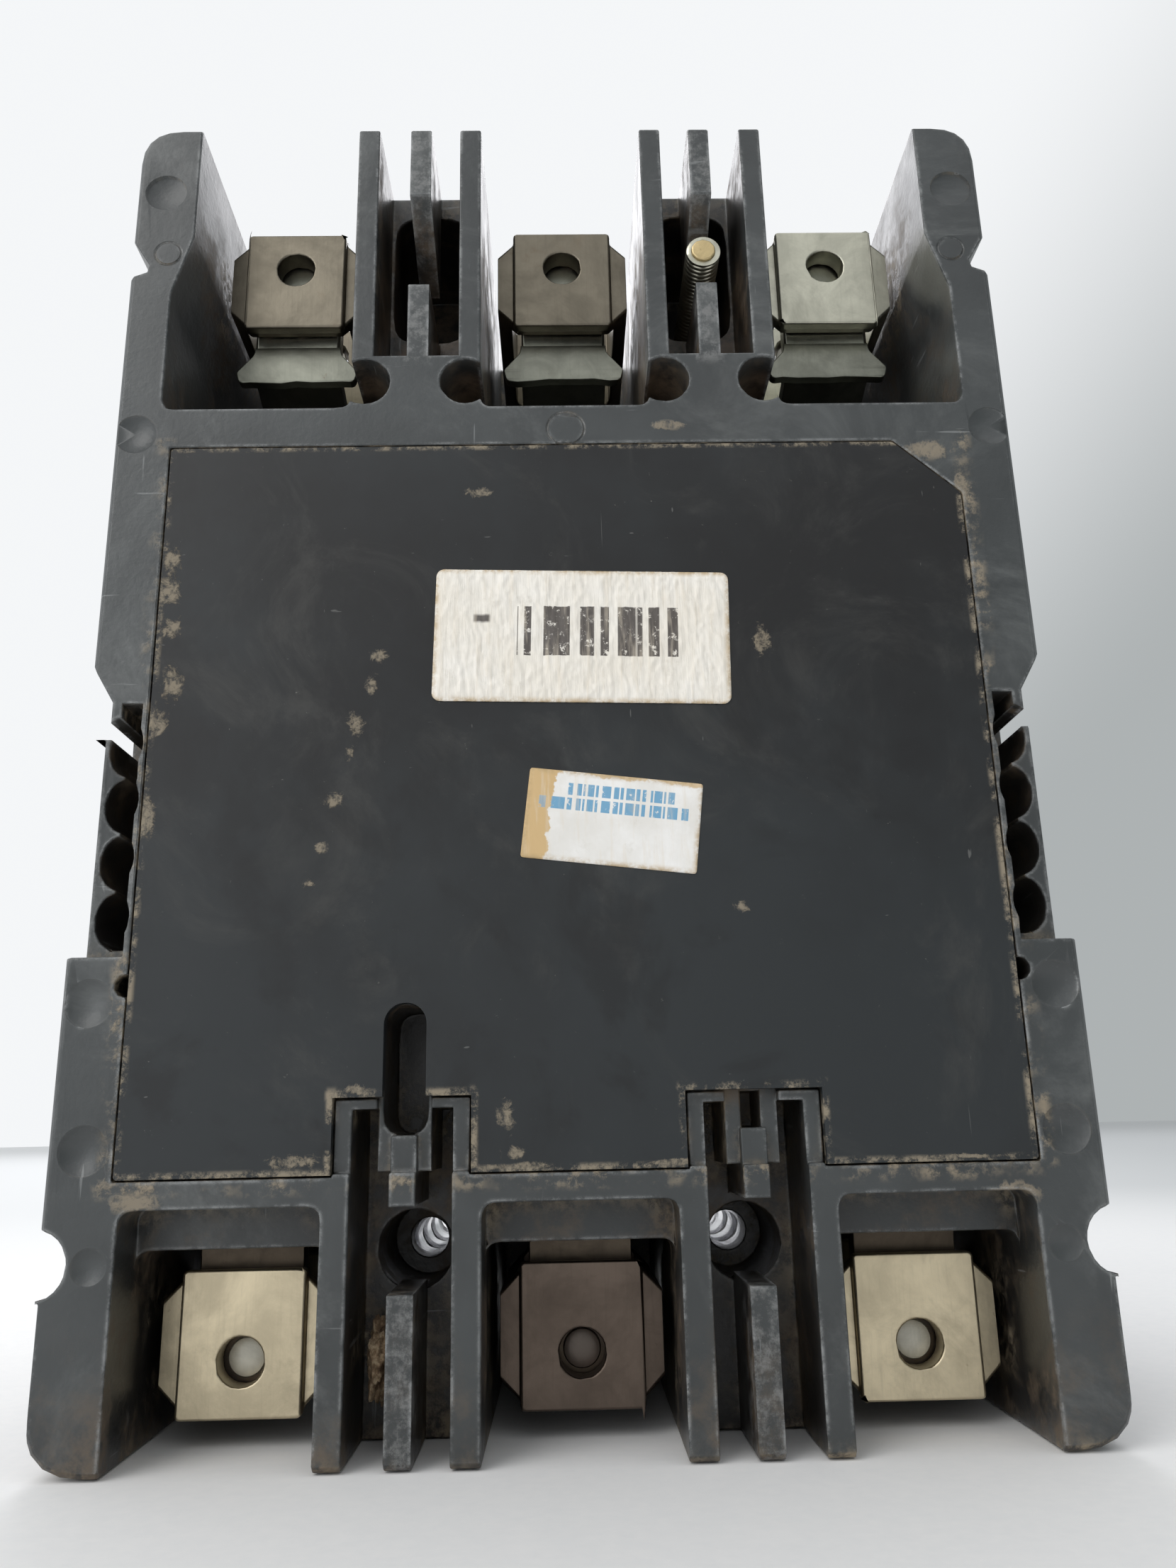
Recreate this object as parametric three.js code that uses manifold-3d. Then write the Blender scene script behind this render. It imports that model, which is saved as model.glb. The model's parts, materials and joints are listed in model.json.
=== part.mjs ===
// A three-pole moulded-case circuit breaker with pressure lugs, shown switched off.
//
// Millimetres. X runs to the right as seen from the front, Z runs up towards the line terminals, and the
// toggle faces -Y. The origin is the middle of the flat back, so a "depth" is a distance forwards from the
// back plane: y = -depth. Outlines drawn face on are [x, z]; outlines drawn side on are [depth, z].

import * as THREE from "three";
import { mergeVertices } from "three/addons/utils/BufferGeometryUtils.js";
import Module from "manifold-3d";

// ---------------------------------------------------------------- driving dimensions

const WIDTH = 104.8;
const HEIGHT = 152.4;
const BASE_DEPTH = 50; // back plane to parting line
const SHOULDER_DEPTH = 70; // cover over the terminals
const FACE_DEPTH = 82.5; // middle of the cover
const RIM_DEPTH = 85.7; // raised rim round the toggle
const POLE_PITCH = 34.9;
const GAP = 0.3; // between pieces that touch

const HALF_WIDTH = WIDTH / 2;
const HALF_HEIGHT = HEIGHT / 2;
const BETWEEN_POLES = POLE_PITCH / 2; // the two fin groups and the mounting holes stand here
const POLES = [
  { name: "left", x: -POLE_PITCH },
  { name: "centre", x: 0 },
  { name: "right", x: POLE_PITCH },
];
const SIDES = [-1, 1];
const CURVE_STEPS = 5; // straight pieces in each rounded corner
const PAST = 1; // how far a cut runs past the surface it starts from

// mounting holes
const MOUNT_Z = 58;
const MOUNT_HOLE_R = 2.2;
const MOUNT_SEAT_DEPTH = 62;
const LOAD_COUNTERBORE_DEPTH = 26;

// fins between the poles, as distances from the middle plane
const FIN_SLOTS = [[12.6, 16.2], [18.8, 22.7]];
const CENTRE_FIN = [16.2, 18.8];
const FIN_FLOOR = 12.3; // depth of the slots between fins
const FINS_INNER = 10;
const FINS_OUTER = 25.3;

// terminal chambers
const LINE_CHAMBER_Z = 36;
const LOAD_CHAMBER_Z = -52.8;
const LOAD_LEDGE_Z = -57;
const LOAD_LEDGE_DEPTH = 6;
const EAR_INNER_X = 45;

// insulating back plate
const PLATE = { halfWidth: 45.6, top: 30.6, bottom: -49.8, depth: 1.6 };
const PLATE_NOTCH = { inner: 10.9, outer: 24.4, top: -42.7 };
const RECESS_DEPTH = PLATE.depth + GAP;

// inside of the housing
const FLOOR_DEPTH = 5;
const BAY_TOP = 33;
const BAY_BOTTOM = -49.5;
const BAY_INNER = 1.45; // half of the wall between two poles
const BAY_OUTER_X = 49.4;
const BAY_OUTER_X_DEEP = 44.3; // nearer the back, beside the side reliefs
const SIDE_RELIEF_DEPTH = 15.5;
const COVER_BAY_Z = 47.8;
const COVER_BAY_DEPTH = 79.5;

// pressure lugs
const LUG = { halfWidth: 8.5, halfHeight: 6.55, back: 11, front: 33, wall: 1.8, nutWall: 3.5, corner: 2.4 };
const LUG_BAND = { halfWidth: 6.4, halfHeight: 7.1, back: 10 };
const LUG_HOLE_R = 2.4;
const LUG_SCREW = { radius: 3.2, tip: 29.6, end: 41, offset: 1.7 };
const TERMINALS = [
  { name: "line", lugZ: 61.5, out: 1 },
  { name: "load", lugZ: -66.5, out: -1 },
];
const STRAP = { halfWidth: 5.5, thickness: 2.3, depth: 14.25 };

// switching mechanism, side on: [depth, z]
const HANDLE_PIVOT = [58, 0];
const HANDLE_OFF_DEG = 22; // toggle tilts this far either way from straight out
const CROSSBAR = [34, -12];
const CROSSBAR_TURN_DEG = 38;
const CROSSBAR_R = 5.4;
const CARRIER_R = 6.8;
const CONTACT_TIP_ON = [19.5, 14];
const ARM_PIVOT_OUT = 2.2; // from the crossbar's centre line, towards the contact
const ARM_SWING_DEG = 8;
const LEVER_LENGTH = 10;
const LEVER_ON_DEG = 15; // forwards from upright when closed
const CRADLE_PIVOT = [48, 24];
const LINK_PIVOT = [55, -15];
const UPPER_LINK = 10;
const LOWER_LINK = 13;
const KNEE_HOLE_R = 2.55; // loose on its pin, because the linkage is open here
const FRAME_X = [11, 12.2];
const YOKE_X = [9.4, 10.6];
const TRIP_BAR = [45.5, -40];
const TRIP_BAR_R = 2.8;
const TRIP_BUTTON = { x: 30, z: -36 };
const COVER_SCREW = { x: 48.7, z: 66.5 };

// ---------------------------------------------------------------- materials

function finish(color, roughness, metalness = 0) {
  return new THREE.MeshStandardMaterial({ color, roughness, metalness });
}

const MATERIALS = {
  housing: finish(0x4b5256, 0.5),
  fibre: finish(0x36383a, 0.45),
  paper: finish(0xe2ddd0, 0.8),
  platedSteel: finish(0xb4af9b, 0.35, 0.9),
  darkSteel: finish(0x6e6459, 0.45, 0.9),
  zinc: finish(0xbec3b4, 0.4, 0.9),
  brass: finish(0xb99b5f, 0.35, 0.9),
  copper: finish(0xb87050, 0.35, 0.95),
  black: finish(0x1c1d1f, 0.4),
  red: finish(0xb02a22, 0.4),
  chuteFibre: finish(0x9c6b4a, 0.75),
};

// ---------------------------------------------------------------- geometry helpers

const wasm = await Module();
wasm.setup();

const X_AXIS = new THREE.Vector3(1, 0, 0);
const Z_AXIS = new THREE.Vector3(0, 0, 1);
const FORWARDS = new THREE.Vector3(0, -1, 0);
const FACE_ON = new THREE.Matrix4().makeBasis(X_AXIS, Z_AXIS, FORWARDS);
const SIDE_ON = new THREE.Matrix4().makeBasis(FORWARDS, Z_AXIS, X_AXIS.clone().negate());

// A closed outline through [a, b] corners. A third number rounds that corner off.
function outline(corners) {
  const shape = new THREE.Shape();
  corners.forEach(([a, b, radius = 0], i) => {
    const corner = new THREE.Vector2(a, b);
    const towards = ([c, d]) => new THREE.Vector2(c, d).sub(corner).setLength(radius).add(corner);
    const start = radius ? towards(corners.at(i - 1)) : corner;
    if (i === 0) shape.moveTo(start.x, start.y);
    else shape.lineTo(start.x, start.y);
    if (radius) {
      const end = towards(corners[(i + 1) % corners.length]);
      shape.quadraticCurveTo(a, b, end.x, end.y);
    }
  });
  return shape;
}

function rectangle([a0, a1], [b0, b1], radius = 0) {
  return outline([[a0, b0, radius], [a1, b0, radius], [a1, b1, radius], [a0, b1, radius]]);
}

// A face-on outline made solid between two depths, with both rims bevelled if asked.
function slab(shape, back, front, bevel = 0) {
  const geometry = new THREE.ExtrudeGeometry(shape, {
    depth: front - back - 2 * bevel,
    curveSegments: CURVE_STEPS,
    bevelEnabled: bevel > 0,
    bevelThickness: bevel,
    bevelSize: bevel,
    bevelOffset: -bevel,
    bevelSegments: 1,
  });
  return geometry.applyMatrix4(FACE_ON).translate(0, -back - bevel, 0);
}

// A side-on outline made solid between two values of x.
function sidePlate(shape, x0, x1) {
  const geometry = new THREE.ExtrudeGeometry(shape, {
    depth: x1 - x0,
    curveSegments: CURVE_STEPS,
    bevelEnabled: false,
  });
  return geometry.applyMatrix4(SIDE_ON).translate(x1, 0, 0);
}

function block([x0, x1], [z0, z1], [back, front]) {
  const geometry = new THREE.BoxGeometry(Math.abs(x1 - x0), Math.abs(front - back), Math.abs(z1 - z0));
  return geometry.translate((x0 + x1) / 2, -(back + front) / 2, (z0 + z1) / 2);
}

// A round bar that points forwards.
function post(x, z, radius, back, front, sides = 14) {
  const geometry = new THREE.CylinderGeometry(radius, radius, front - back, sides);
  return geometry.translate(x, -(back + front) / 2, z);
}

// A round bar along X.
function axle([depth, z], radius, x0, x1, sides = 12) {
  const geometry = new THREE.CylinderGeometry(radius, radius, x1 - x0, sides);
  return geometry.rotateZ(Math.PI / 2).translate((x0 + x1) / 2, -depth, z);
}

// A closed geometry as a solid that can be joined and cut.
function solid(geometry) {
  const bare = geometry.clone();
  bare.deleteAttribute("normal");
  bare.deleteAttribute("uv");
  const merged = mergeVertices(bare, 1e-4);
  const mesh = new wasm.Mesh({
    numProp: 3,
    vertProperties: merged.attributes.position.array,
    triVerts: new Uint32Array(merged.index.array),
  });
  return new wasm.Manifold(mesh);
}

function join(...geometries) {
  return geometries.flat().map(solid).reduce((whole, piece) => whole.add(piece));
}

function cut(whole, ...geometries) {
  return whole.subtract(join(...geometries));
}

function surfaceOf(whole) {
  const { vertProperties, triVerts } = whole.getMesh();
  const indexed = new THREE.BufferGeometry();
  indexed.setAttribute("position", new THREE.BufferAttribute(new Float32Array(vertProperties), 3));
  indexed.setIndex(Array.from(triVerts));
  const geometry = indexed.toNonIndexed();
  geometry.computeVertexNormals();
  return geometry;
}

const breaker = new THREE.Group();

// Names a shape, gives it its material and puts it in the assembly.
function addPiece(name, shape, material, parent = breaker) {
  const geometry = shape.isBufferGeometry ? shape : surfaceOf(shape);
  const mesh = new THREE.Mesh(geometry, material);
  mesh.name = name;
  parent.add(mesh);
  return mesh;
}

// The same x range on the left or right of the middle plane.
function onSide(side, [x0, x1]) {
  return side > 0 ? [x0, x1] : [-x1, -x0];
}

function mirrored(side, corners) {
  return corners.map(([x, ...rest]) => [side * x, ...rest]);
}

// The point at a distance from a pivot, turned forwards from upright.
function swung([depth, z], length, forwardsDeg) {
  const angle = THREE.MathUtils.degToRad(forwardsDeg);
  return [depth + length * Math.sin(angle), z + length * Math.cos(angle)];
}

// ---------------------------------------------------------------- housing base

// What both end groups share: three fins standing on a floor between two poles.
function finSlots(side, zRange) {
  return FIN_SLOTS.map((range) => block(onSide(side, range), zRange, [-PAST, FIN_FLOOR]));
}

function lineEndCuts(side) {
  const top = HALF_HEIGHT + PAST;
  const chamber = [
    [FINS_OUTER, LINE_CHAMBER_Z, 1.5],
    [47.3, LINE_CHAMBER_Z, 1.5],
    [47.3, 52],
    [EAR_INNER_X, 60],
    [EAR_INNER_X, top],
    [FINS_OUTER, top],
  ];
  const finGap = [[-PAST, 53], [-PAST, 66.5], [0, 66], [FIN_FLOOR, 60], [FIN_FLOOR, 53]];
  const x = side * BETWEEN_POLES;
  const pocket = rectangle([x - 4.8, x + 4.8], [53.5, 73], 3.5);
  const grooves = [11.8, 23.7].map((r) => post(side * r, 39.5, 3, -PAST, 22, 24));
  return [
    slab(outline(mirrored(side, chamber)), -PAST, BASE_DEPTH + PAST),
    ...finSlots(side, [43, top]),
    sidePlate(outline(finGap), ...onSide(side, CENTRE_FIN)),
    slab(pocket, FIN_FLOOR - 0.1, 30),
    post(x, MOUNT_Z, MOUNT_HOLE_R, 29, BASE_DEPTH + PAST, 20),
    ...grooves,
  ];
}

function loadEndCuts(side) {
  const bottom = -HALF_HEIGHT - PAST;
  const x = side * BETWEEN_POLES;
  const inner = 25.4;
  const chamber = (top) =>
    mirrored(side, [[inner, bottom], [EAR_INNER_X, bottom], [EAR_INNER_X, top, 1.5], [inner, top, 1.5]]);
  return [
    slab(outline(chamber(LOAD_CHAMBER_Z)), -PAST, LOAD_LEDGE_DEPTH),
    slab(outline(chamber(LOAD_LEDGE_Z)), LOAD_LEDGE_DEPTH - 0.1, BASE_DEPTH + PAST),
    ...finSlots(side, [bottom, PLATE.bottom]),
    block(onSide(side, CENTRE_FIN), [-61, -53], [-PAST, FIN_FLOOR]),
    post(x, -MOUNT_Z, 4, FIN_FLOOR - 0.1, LOAD_COUNTERBORE_DEPTH, 28),
    post(x, -MOUNT_Z, MOUNT_HOLE_R, LOAD_COUNTERBORE_DEPTH - 0.5, BASE_DEPTH + PAST, 20),
    post(side * 52.9, -57.65, 3.3, -PAST, 14, 24),
    block(onSide(side, [51.9, 54]), [bottom, -61], [-PAST, BASE_DEPTH + PAST]),
  ];
}

// The stepped notch under the back plate where the fin slots run in from the load end.
function notchCuts(side) {
  const { inner, outer, top } = PLATE_NOTCH;
  return [
    block(onSide(side, [inner, outer]), [PLATE.bottom, top], [-PAST, 0.9]),
    block(onSide(side, [12.6, 14.8]), [PLATE.bottom, -43.7], [-PAST, FIN_FLOOR]),
    block(onSide(side, [20.2, 22.7]), [PLATE.bottom, -43.7], [-PAST, FIN_FLOOR]),
    block(onSide(side, [14.8, 20.2]), [-46.3, top], [-PAST, RECESS_DEPTH]),
    block(onSide(side, [14.8, CENTRE_FIN[0]]), [PLATE.bottom, -46.3], [-PAST, RECESS_DEPTH]),
    block(onSide(side, [CENTRE_FIN[1], 20.2]), [PLATE.bottom, -46.3], [-PAST, RECESS_DEPTH]),
    block(onSide(side, [16.5, 18.4]), [-46.3, top], [-PAST, 8]),
  ];
}

// The hand relief halfway down each side, with its scalloped slot, and the two shallow nicks.
function sideCuts(side) {
  const outside = HALF_WIDTH + PAST;
  const nick = [[outside, 61.2], [50.2, 56], [50.4, 55], [outside, 53.8]];
  const ledge = [[outside, 5], [HALF_WIDTH, 4], [49.9, -0.3], [49.9, -3.7], [outside, -3.7]];
  const scallops = [-5, -11.3, -17.6, -23.9].map((z) =>
    post(0, 0, 3, -PAST, 14, 24).scale(0.75, 1, 1).translate(side * 48.5, 0, z),
  );
  return [
    slab(outline(mirrored(side, nick)), -PAST, 14),
    slab(outline(mirrored(side, ledge)), -PAST, 14),
    block(onSide(side, [51.3, outside]), [-28, -3.7], [-PAST, 14]),
    block(onSide(side, [46.6, outside]), [-28, -3.6], [-PAST, 2.7]),
    block(onSide(side, [46.6, 48.8]), [-27, -0.5], [-PAST, 14]),
    ...scallops,
    post(side * 46, -31, 1.2, -PAST, 8, 10),
    post(side * COVER_SCREW.x, COVER_SCREW.z, 1.5, 36, BASE_DEPTH + PAST, 12),
    post(side * COVER_SCREW.x, -COVER_SCREW.z, 1.5, 36, BASE_DEPTH + PAST, 12),
  ];
}

function plateOutline(clearance) {
  const { halfWidth, top, bottom } = PLATE;
  const x = halfWidth + clearance;
  return outline([
    [-x, bottom - clearance],
    [x, bottom - clearance],
    [x, top + clearance],
    [-38.3, top + clearance],
    [-x, 24],
  ]);
}

// The space for the moving parts: one bay for each pole, open to the front.
function baseBays() {
  const wall = BETWEEN_POLES - BAY_INNER;
  const inner = BETWEEN_POLES + BAY_INNER;
  const front = BASE_DEPTH + PAST;
  const zRange = [BAY_BOTTOM, BAY_TOP];
  const toFront = [FLOOR_DEPTH, front];
  const sideBays = SIDES.flatMap((side) => [
    block(onSide(side, [inner, BAY_OUTER_X_DEEP]), zRange, toFront),
    block(onSide(side, [inner, BAY_OUTER_X]), zRange, [SIDE_RELIEF_DEPTH, front]),
  ]);
  return [block([-wall, wall], zRange, toFront), ...sideBays];
}

// A slot in the walls between poles for a bar along X, open to the front.
function barSlot(centre, radius) {
  const x = BETWEEN_POLES + BAY_INNER + PAST;
  const [depth, z] = centre;
  return [
    axle(centre, radius, -x, x),
    block([-x, x], [z - radius, z + radius], [depth, BASE_DEPTH + PAST]),
  ];
}

function housingBase() {
  const corners = [
    [-HALF_WIDTH, -HALF_HEIGHT, 6],
    [HALF_WIDTH, -HALF_HEIGHT, 6],
    [HALF_WIDTH, HALF_HEIGHT, 5],
    [-HALF_WIDTH, HALF_HEIGHT, 5],
  ];
  const shell = join(slab(outline(corners), 0, BASE_DEPTH, 0.5));
  const notchBlocks = SIDES.map((side) =>
    block(onSide(side, [9.9, 25.4]), [BAY_BOTTOM - PAST, -41.5], [2, 15.3]),
  );
  const slotBoss = block([13.4, 21.5], [-42, -30.5], [2, 14.5]);
  const hollow = cut(shell, baseBays()).add(join(notchBlocks, slotBoss));

  const middleTop = rectangle([-FINS_INNER, FINS_INNER], [LINE_CHAMBER_Z, HALF_HEIGHT + 5], 1.5);
  const middleBottom = (top) => rectangle([-9.7, 9.7], [-HALF_HEIGHT - 5, top], 1.5);
  const strapSlots = POLES.flatMap(({ x }) => [
    block([x - 6.2, x + 6.2], [BAY_TOP - PAST, LINE_CHAMBER_Z + PAST], [21.2, 24.8]),
    block([x - 6.2, x + 6.2], [LOAD_LEDGE_Z - PAST, BAY_BOTTOM + PAST], [12.8, 15.7]),
  ]);
  const outsideCuts = [lineEndCuts, loadEndCuts, notchCuts, sideCuts].flatMap((cuts) => SIDES.flatMap(cuts));
  return cut(
    hollow,
    outsideCuts,
    slab(middleTop, -PAST, BASE_DEPTH + PAST),
    slab(middleBottom(LOAD_CHAMBER_Z), -PAST, LOAD_LEDGE_DEPTH),
    slab(middleBottom(LOAD_LEDGE_Z), LOAD_LEDGE_DEPTH - 0.1, BASE_DEPTH + PAST),
    strapSlots,
    slab(rectangle([15.2, 19.7], [-46.3, -33.3], 2.2), -PAST, 12.5),
    barSlot(CROSSBAR, CROSSBAR_R + 0.6),
    barSlot(TRIP_BAR, TRIP_BAR_R + 0.6),
  ).subtract(plateRecess());
}

// The seat of the back plate, which stops short of the two notches at the load end.
function plateRecess() {
  const { inner, outer, top } = PLATE_NOTCH;
  const seat = join(slab(plateOutline(GAP), -PAST, RECESS_DEPTH));
  const notches = SIDES.map((side) =>
    block(onSide(side, [inner, outer]), [PLATE.bottom - PAST, top], [-2, 3]),
  );
  return cut(seat, notches);
}

addPiece("housing_base", housingBase(), MATERIALS.housing);

// ---------------------------------------------------------------- back plate and labels

const LABELS = [
  { name: "label_large", x: -1.4, z: 6.7, width: 32.9, height: 15.7, tilt: 1.5 },
  { name: "label_small", x: -4.2, z: -14.5, width: 18.7, height: 9.9, tilt: 6.7 },
];
const LABEL_THICKNESS = 0.2;
const LABEL_POCKET = 0.4;

function labelSlab({ x, z, width, height, tilt }, clearance, back, front) {
  const w = width / 2 + clearance;
  const h = height / 2 + clearance;
  const geometry = slab(rectangle([-w, w], [-h, h], 0.8), back, front);
  return geometry.rotateY(THREE.MathUtils.degToRad(-tilt)).translate(x, 0, z);
}

function backPlate() {
  const { inner, outer, top } = PLATE_NOTCH;
  const sheet = join(slab(plateOutline(0), 0, PLATE.depth));
  const notches = SIDES.map((side) =>
    block(onSide(side, [inner - GAP, outer + GAP]), [PLATE.bottom - PAST, top + GAP], [-PAST, 3]),
  );
  const vent = slab(rectangle([15.2, 19.7], [-46, -33.3], 2.2), -PAST, 3);
  const pockets = LABELS.map((label) => labelSlab(label, 0.15, -PAST, LABEL_POCKET));
  return cut(sheet, notches, vent, pockets);
}

addPiece("back_plate", backPlate(), MATERIALS.fibre);
for (const label of LABELS) {
  addPiece(label.name, labelSlab(label, 0, 0, LABEL_THICKNESS), MATERIALS.paper);
}

// ---------------------------------------------------------------- cover

const TOGGLE_SLOT = { halfWidth: 8.4, halfHeight: 19.5 };
const RATING_LABEL = { x: [-48, -27], z: [-34, 34] };

function coverBays() {
  const wall = BETWEEN_POLES - BAY_INNER;
  const zRange = [-COVER_BAY_Z, COVER_BAY_Z];
  const depths = [BASE_DEPTH - PAST, COVER_BAY_DEPTH];
  const sideBays = SIDES.map((side) =>
    block(onSide(side, [BETWEEN_POLES + BAY_INNER, BAY_OUTER_X]), zRange, depths),
  );
  return [block([-wall, wall], zRange, depths), ...sideBays];
}

// Slots in the step towards the line terminals that let arc gases out.
function gasVents() {
  const slots = [];
  for (const { x } of POLES) {
    for (const depth of [72.5, 75.5, 78]) {
      slots.push(block([x - 7, x + 7], [COVER_BAY_Z - PAST, 52], [depth - 0.7, depth + 0.7]));
    }
  }
  return slots;
}

// Holes down to the lug screws, seats for the mounting screws and for the cover's own screws.
function screwHoles() {
  const start = BASE_DEPTH - PAST;
  const front = SHOULDER_DEPTH + PAST;
  const access = TERMINALS.flatMap(({ lugZ, out }) =>
    POLES.map(({ x }) => post(x, lugZ + out * LUG_SCREW.offset, 5.2, start, front, 24)),
  );
  const corners = SIDES.flatMap((side) => SIDES.map((end) => [side, end]));
  const mounting = corners.flatMap(([side, end]) => [
    post(side * BETWEEN_POLES, end * MOUNT_Z, MOUNT_HOLE_R + 0.2, start, front),
    post(side * BETWEEN_POLES, end * MOUNT_Z, 4.6, MOUNT_SEAT_DEPTH, front, 24),
  ]);
  const cover = corners.flatMap(([side, end]) => [
    post(side * COVER_SCREW.x, end * COVER_SCREW.z, 1.9, start, front, 12),
    post(side * COVER_SCREW.x, end * COVER_SCREW.z, 3.3, 66, front, 14),
  ]);
  return [...access, ...mounting, ...cover];
}

// Slots in both ends that take the barriers between neighbouring terminals.
function barrierSlots() {
  return SIDES.flatMap((side) =>
    SIDES.map((end) => {
      const x = side * BETWEEN_POLES;
      const z = [end * 72.5, end * (HALF_HEIGHT + PAST)].sort((a, b) => a - b);
      return block([x - 1.1, x + 1.1], z, [BASE_DEPTH - PAST, SHOULDER_DEPTH + PAST]);
    }),
  );
}

function housingCover() {
  const corners = [
    [-HALF_WIDTH, -HALF_HEIGHT, 6],
    [HALF_WIDTH, -HALF_HEIGHT, 6],
    [HALF_WIDTH, HALF_HEIGHT, 5],
    [-HALF_WIDTH, HALF_HEIGHT, 5],
  ];
  const { halfWidth, halfHeight } = TOGGLE_SLOT;
  const shoulders = slab(outline(corners), BASE_DEPTH + GAP, SHOULDER_DEPTH, 0.8);
  const middle = slab(rectangle([-51.6, 51.6], [-50.8, 50.8], 2.5), 60, FACE_DEPTH, 1.6);
  const rim = slab(rectangle([-21, 21], [-31, 31], 3), 75, RIM_DEPTH, 1.4);
  return cut(
    join(shoulders, middle, rim),
    coverBays(),
    gasVents(),
    screwHoles(),
    barrierSlots(),
    block([-halfWidth, halfWidth], [-halfHeight, halfHeight], [78, RIM_DEPTH + PAST]),
    slab(rectangle([-11.5, 11.5], [-22.5, 22.5], 2), RIM_DEPTH - 1.6, RIM_DEPTH + PAST),
    block(RATING_LABEL.x, RATING_LABEL.z, [FACE_DEPTH - 0.6, FACE_DEPTH + PAST]),
    post(TRIP_BUTTON.x, TRIP_BUTTON.z, 3.2, 78, FACE_DEPTH + PAST),
    post(TRIP_BUTTON.x, TRIP_BUTTON.z, 4.6, FACE_DEPTH - 0.8, FACE_DEPTH + PAST, 18),
  );
}

addPiece("housing_cover", housingCover(), MATERIALS.housing);

const ratingInset = ([low, high]) => [low + GAP, high - GAP];
const ratingLabel = slab(
  rectangle(ratingInset(RATING_LABEL.x), ratingInset(RATING_LABEL.z), 1),
  FACE_DEPTH - 0.4,
  FACE_DEPTH - 0.1,
);
addPiece("rating_label", ratingLabel, MATERIALS.paper);

// ---------------------------------------------------------------- screws

// A cheese-head screw pointing backwards, with a slot across its head.
function slottedScrew(x, z, { shank, head, seat, headHeight, tip }) {
  const whole = join(
    post(x, z, shank, tip + 0.6, seat + 0.5, 10),
    post(x, z, shank * 0.8, tip, tip + 0.7, 10),
    post(x, z, head, seat, seat + headHeight),
  );
  const top = seat + headHeight;
  return cut(whole, block([x - head, x + head], [z - 0.5, z + 0.5], [top - 1, top + PAST]));
}

const COVER_SCREW_SIZE = { shank: 1.2, head: 2.9, seat: 66.3, headHeight: 2.2, tip: 38 };
for (const [endName, end] of [["line", 1], ["load", -1]]) {
  for (const [sideName, side] of [["left", -1], ["right", 1]]) {
    const screw = slottedScrew(side * COVER_SCREW.x, end * COVER_SCREW.z, COVER_SCREW_SIZE);
    addPiece(`cover_screw_${endName}_${sideName}`, screw, MATERIALS.zinc);
  }
}

const MOUNTING_SCREW_SIZE = { shank: 1.9, head: 4, seat: MOUNT_SEAT_DEPTH + GAP, headHeight: 3, tip: 0.4 };
addPiece("mounting_screw", slottedScrew(-BETWEEN_POLES, MOUNT_Z, MOUNTING_SCREW_SIZE), MATERIALS.brass);

// ---------------------------------------------------------------- pressure lugs

// A box collar bent from steel strip: the wire goes through it upright and the screw comes in from the front.
function lugCollar(x, z, screwZ) {
  const { halfWidth, halfHeight, back, front, wall, nutWall, corner } = LUG;
  const face = [];
  for (const [sx, sz] of [[-1, -1], [1, -1], [1, 1], [-1, 1]]) {
    const ends = [
      [x + sx * halfWidth, z + sz * (halfHeight - corner)],
      [x + sx * (halfWidth - corner), z + sz * halfHeight],
    ];
    face.push(...(sx * sz > 0 ? ends : ends.reverse()));
  }
  const band = LUG_BAND;
  const bandX = [x - band.halfWidth, x + band.halfWidth];
  const bandFace = rectangle(bandX, [z - band.halfHeight, z + band.halfHeight], 0.6);
  const throughX = [x - halfWidth + wall, x + halfWidth - wall];
  return cut(
    join(slab(outline(face), back, front), slab(bandFace, band.back, back + 0.5)),
    block(throughX, [z - 10, z + 10], [back + wall, front - nutWall]),
    post(x, screwZ, LUG_HOLE_R, band.back - PAST, back + wall + PAST, 24),
    post(x, screwZ, LUG_SCREW.radius + GAP, front - nutWall - PAST, front + PAST),
  );
}

// A headless screw with a hexagon socket in its front end.
function lugScrew(x, z) {
  const { radius, tip, end } = LUG_SCREW;
  const whole = join(post(x, z, radius, tip + 0.8, end, 12), post(x, z, radius - 0.8, tip, tip + 0.9, 12));
  return cut(whole, post(x, z, 1.9, end - 4, end + PAST, 6));
}

for (const terminal of TERMINALS) {
  const screwZ = terminal.lugZ + terminal.out * LUG_SCREW.offset;
  for (const { name, x } of POLES) {
    const worn = terminal.name === "load" && name === "centre";
    addPiece(
      `${terminal.name}_lug_${name}`,
      lugCollar(x, terminal.lugZ, screwZ),
      worn ? MATERIALS.darkSteel : MATERIALS.platedSteel,
    );
    addPiece(`${terminal.name}_lug_screw_${name}`, lugScrew(x, screwZ), MATERIALS.platedSteel);
  }
}

// ---------------------------------------------------------------- conductors

// A strip of even thickness that follows a side-on path, made as a plate across x.
function bentStrip(path, thickness, x0, x1) {
  const half = thickness / 2;
  const points = path.map(([depth, z]) => new THREE.Vector2(depth, z));
  const offset = (side) =>
    points.map((point, i) => {
      const before = points[Math.max(i - 1, 0)];
      const after = points[Math.min(i + 1, points.length - 1)];
      const into = (i ? point.clone().sub(before) : after.clone().sub(point)).normalize();
      const out = (i < points.length - 1 ? after.clone().sub(point) : into.clone()).normalize();
      const normal = new THREE.Vector2(-into.y - out.y, into.x + out.x).normalize();
      const stretch = 1 / normal.dot(new THREE.Vector2(-out.y, out.x));
      return point.clone().addScaledVector(normal, side * half * stretch).toArray();
    });
  return sidePlate(outline([...offset(1), ...offset(-1).reverse()]), x0, x1);
}

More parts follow.
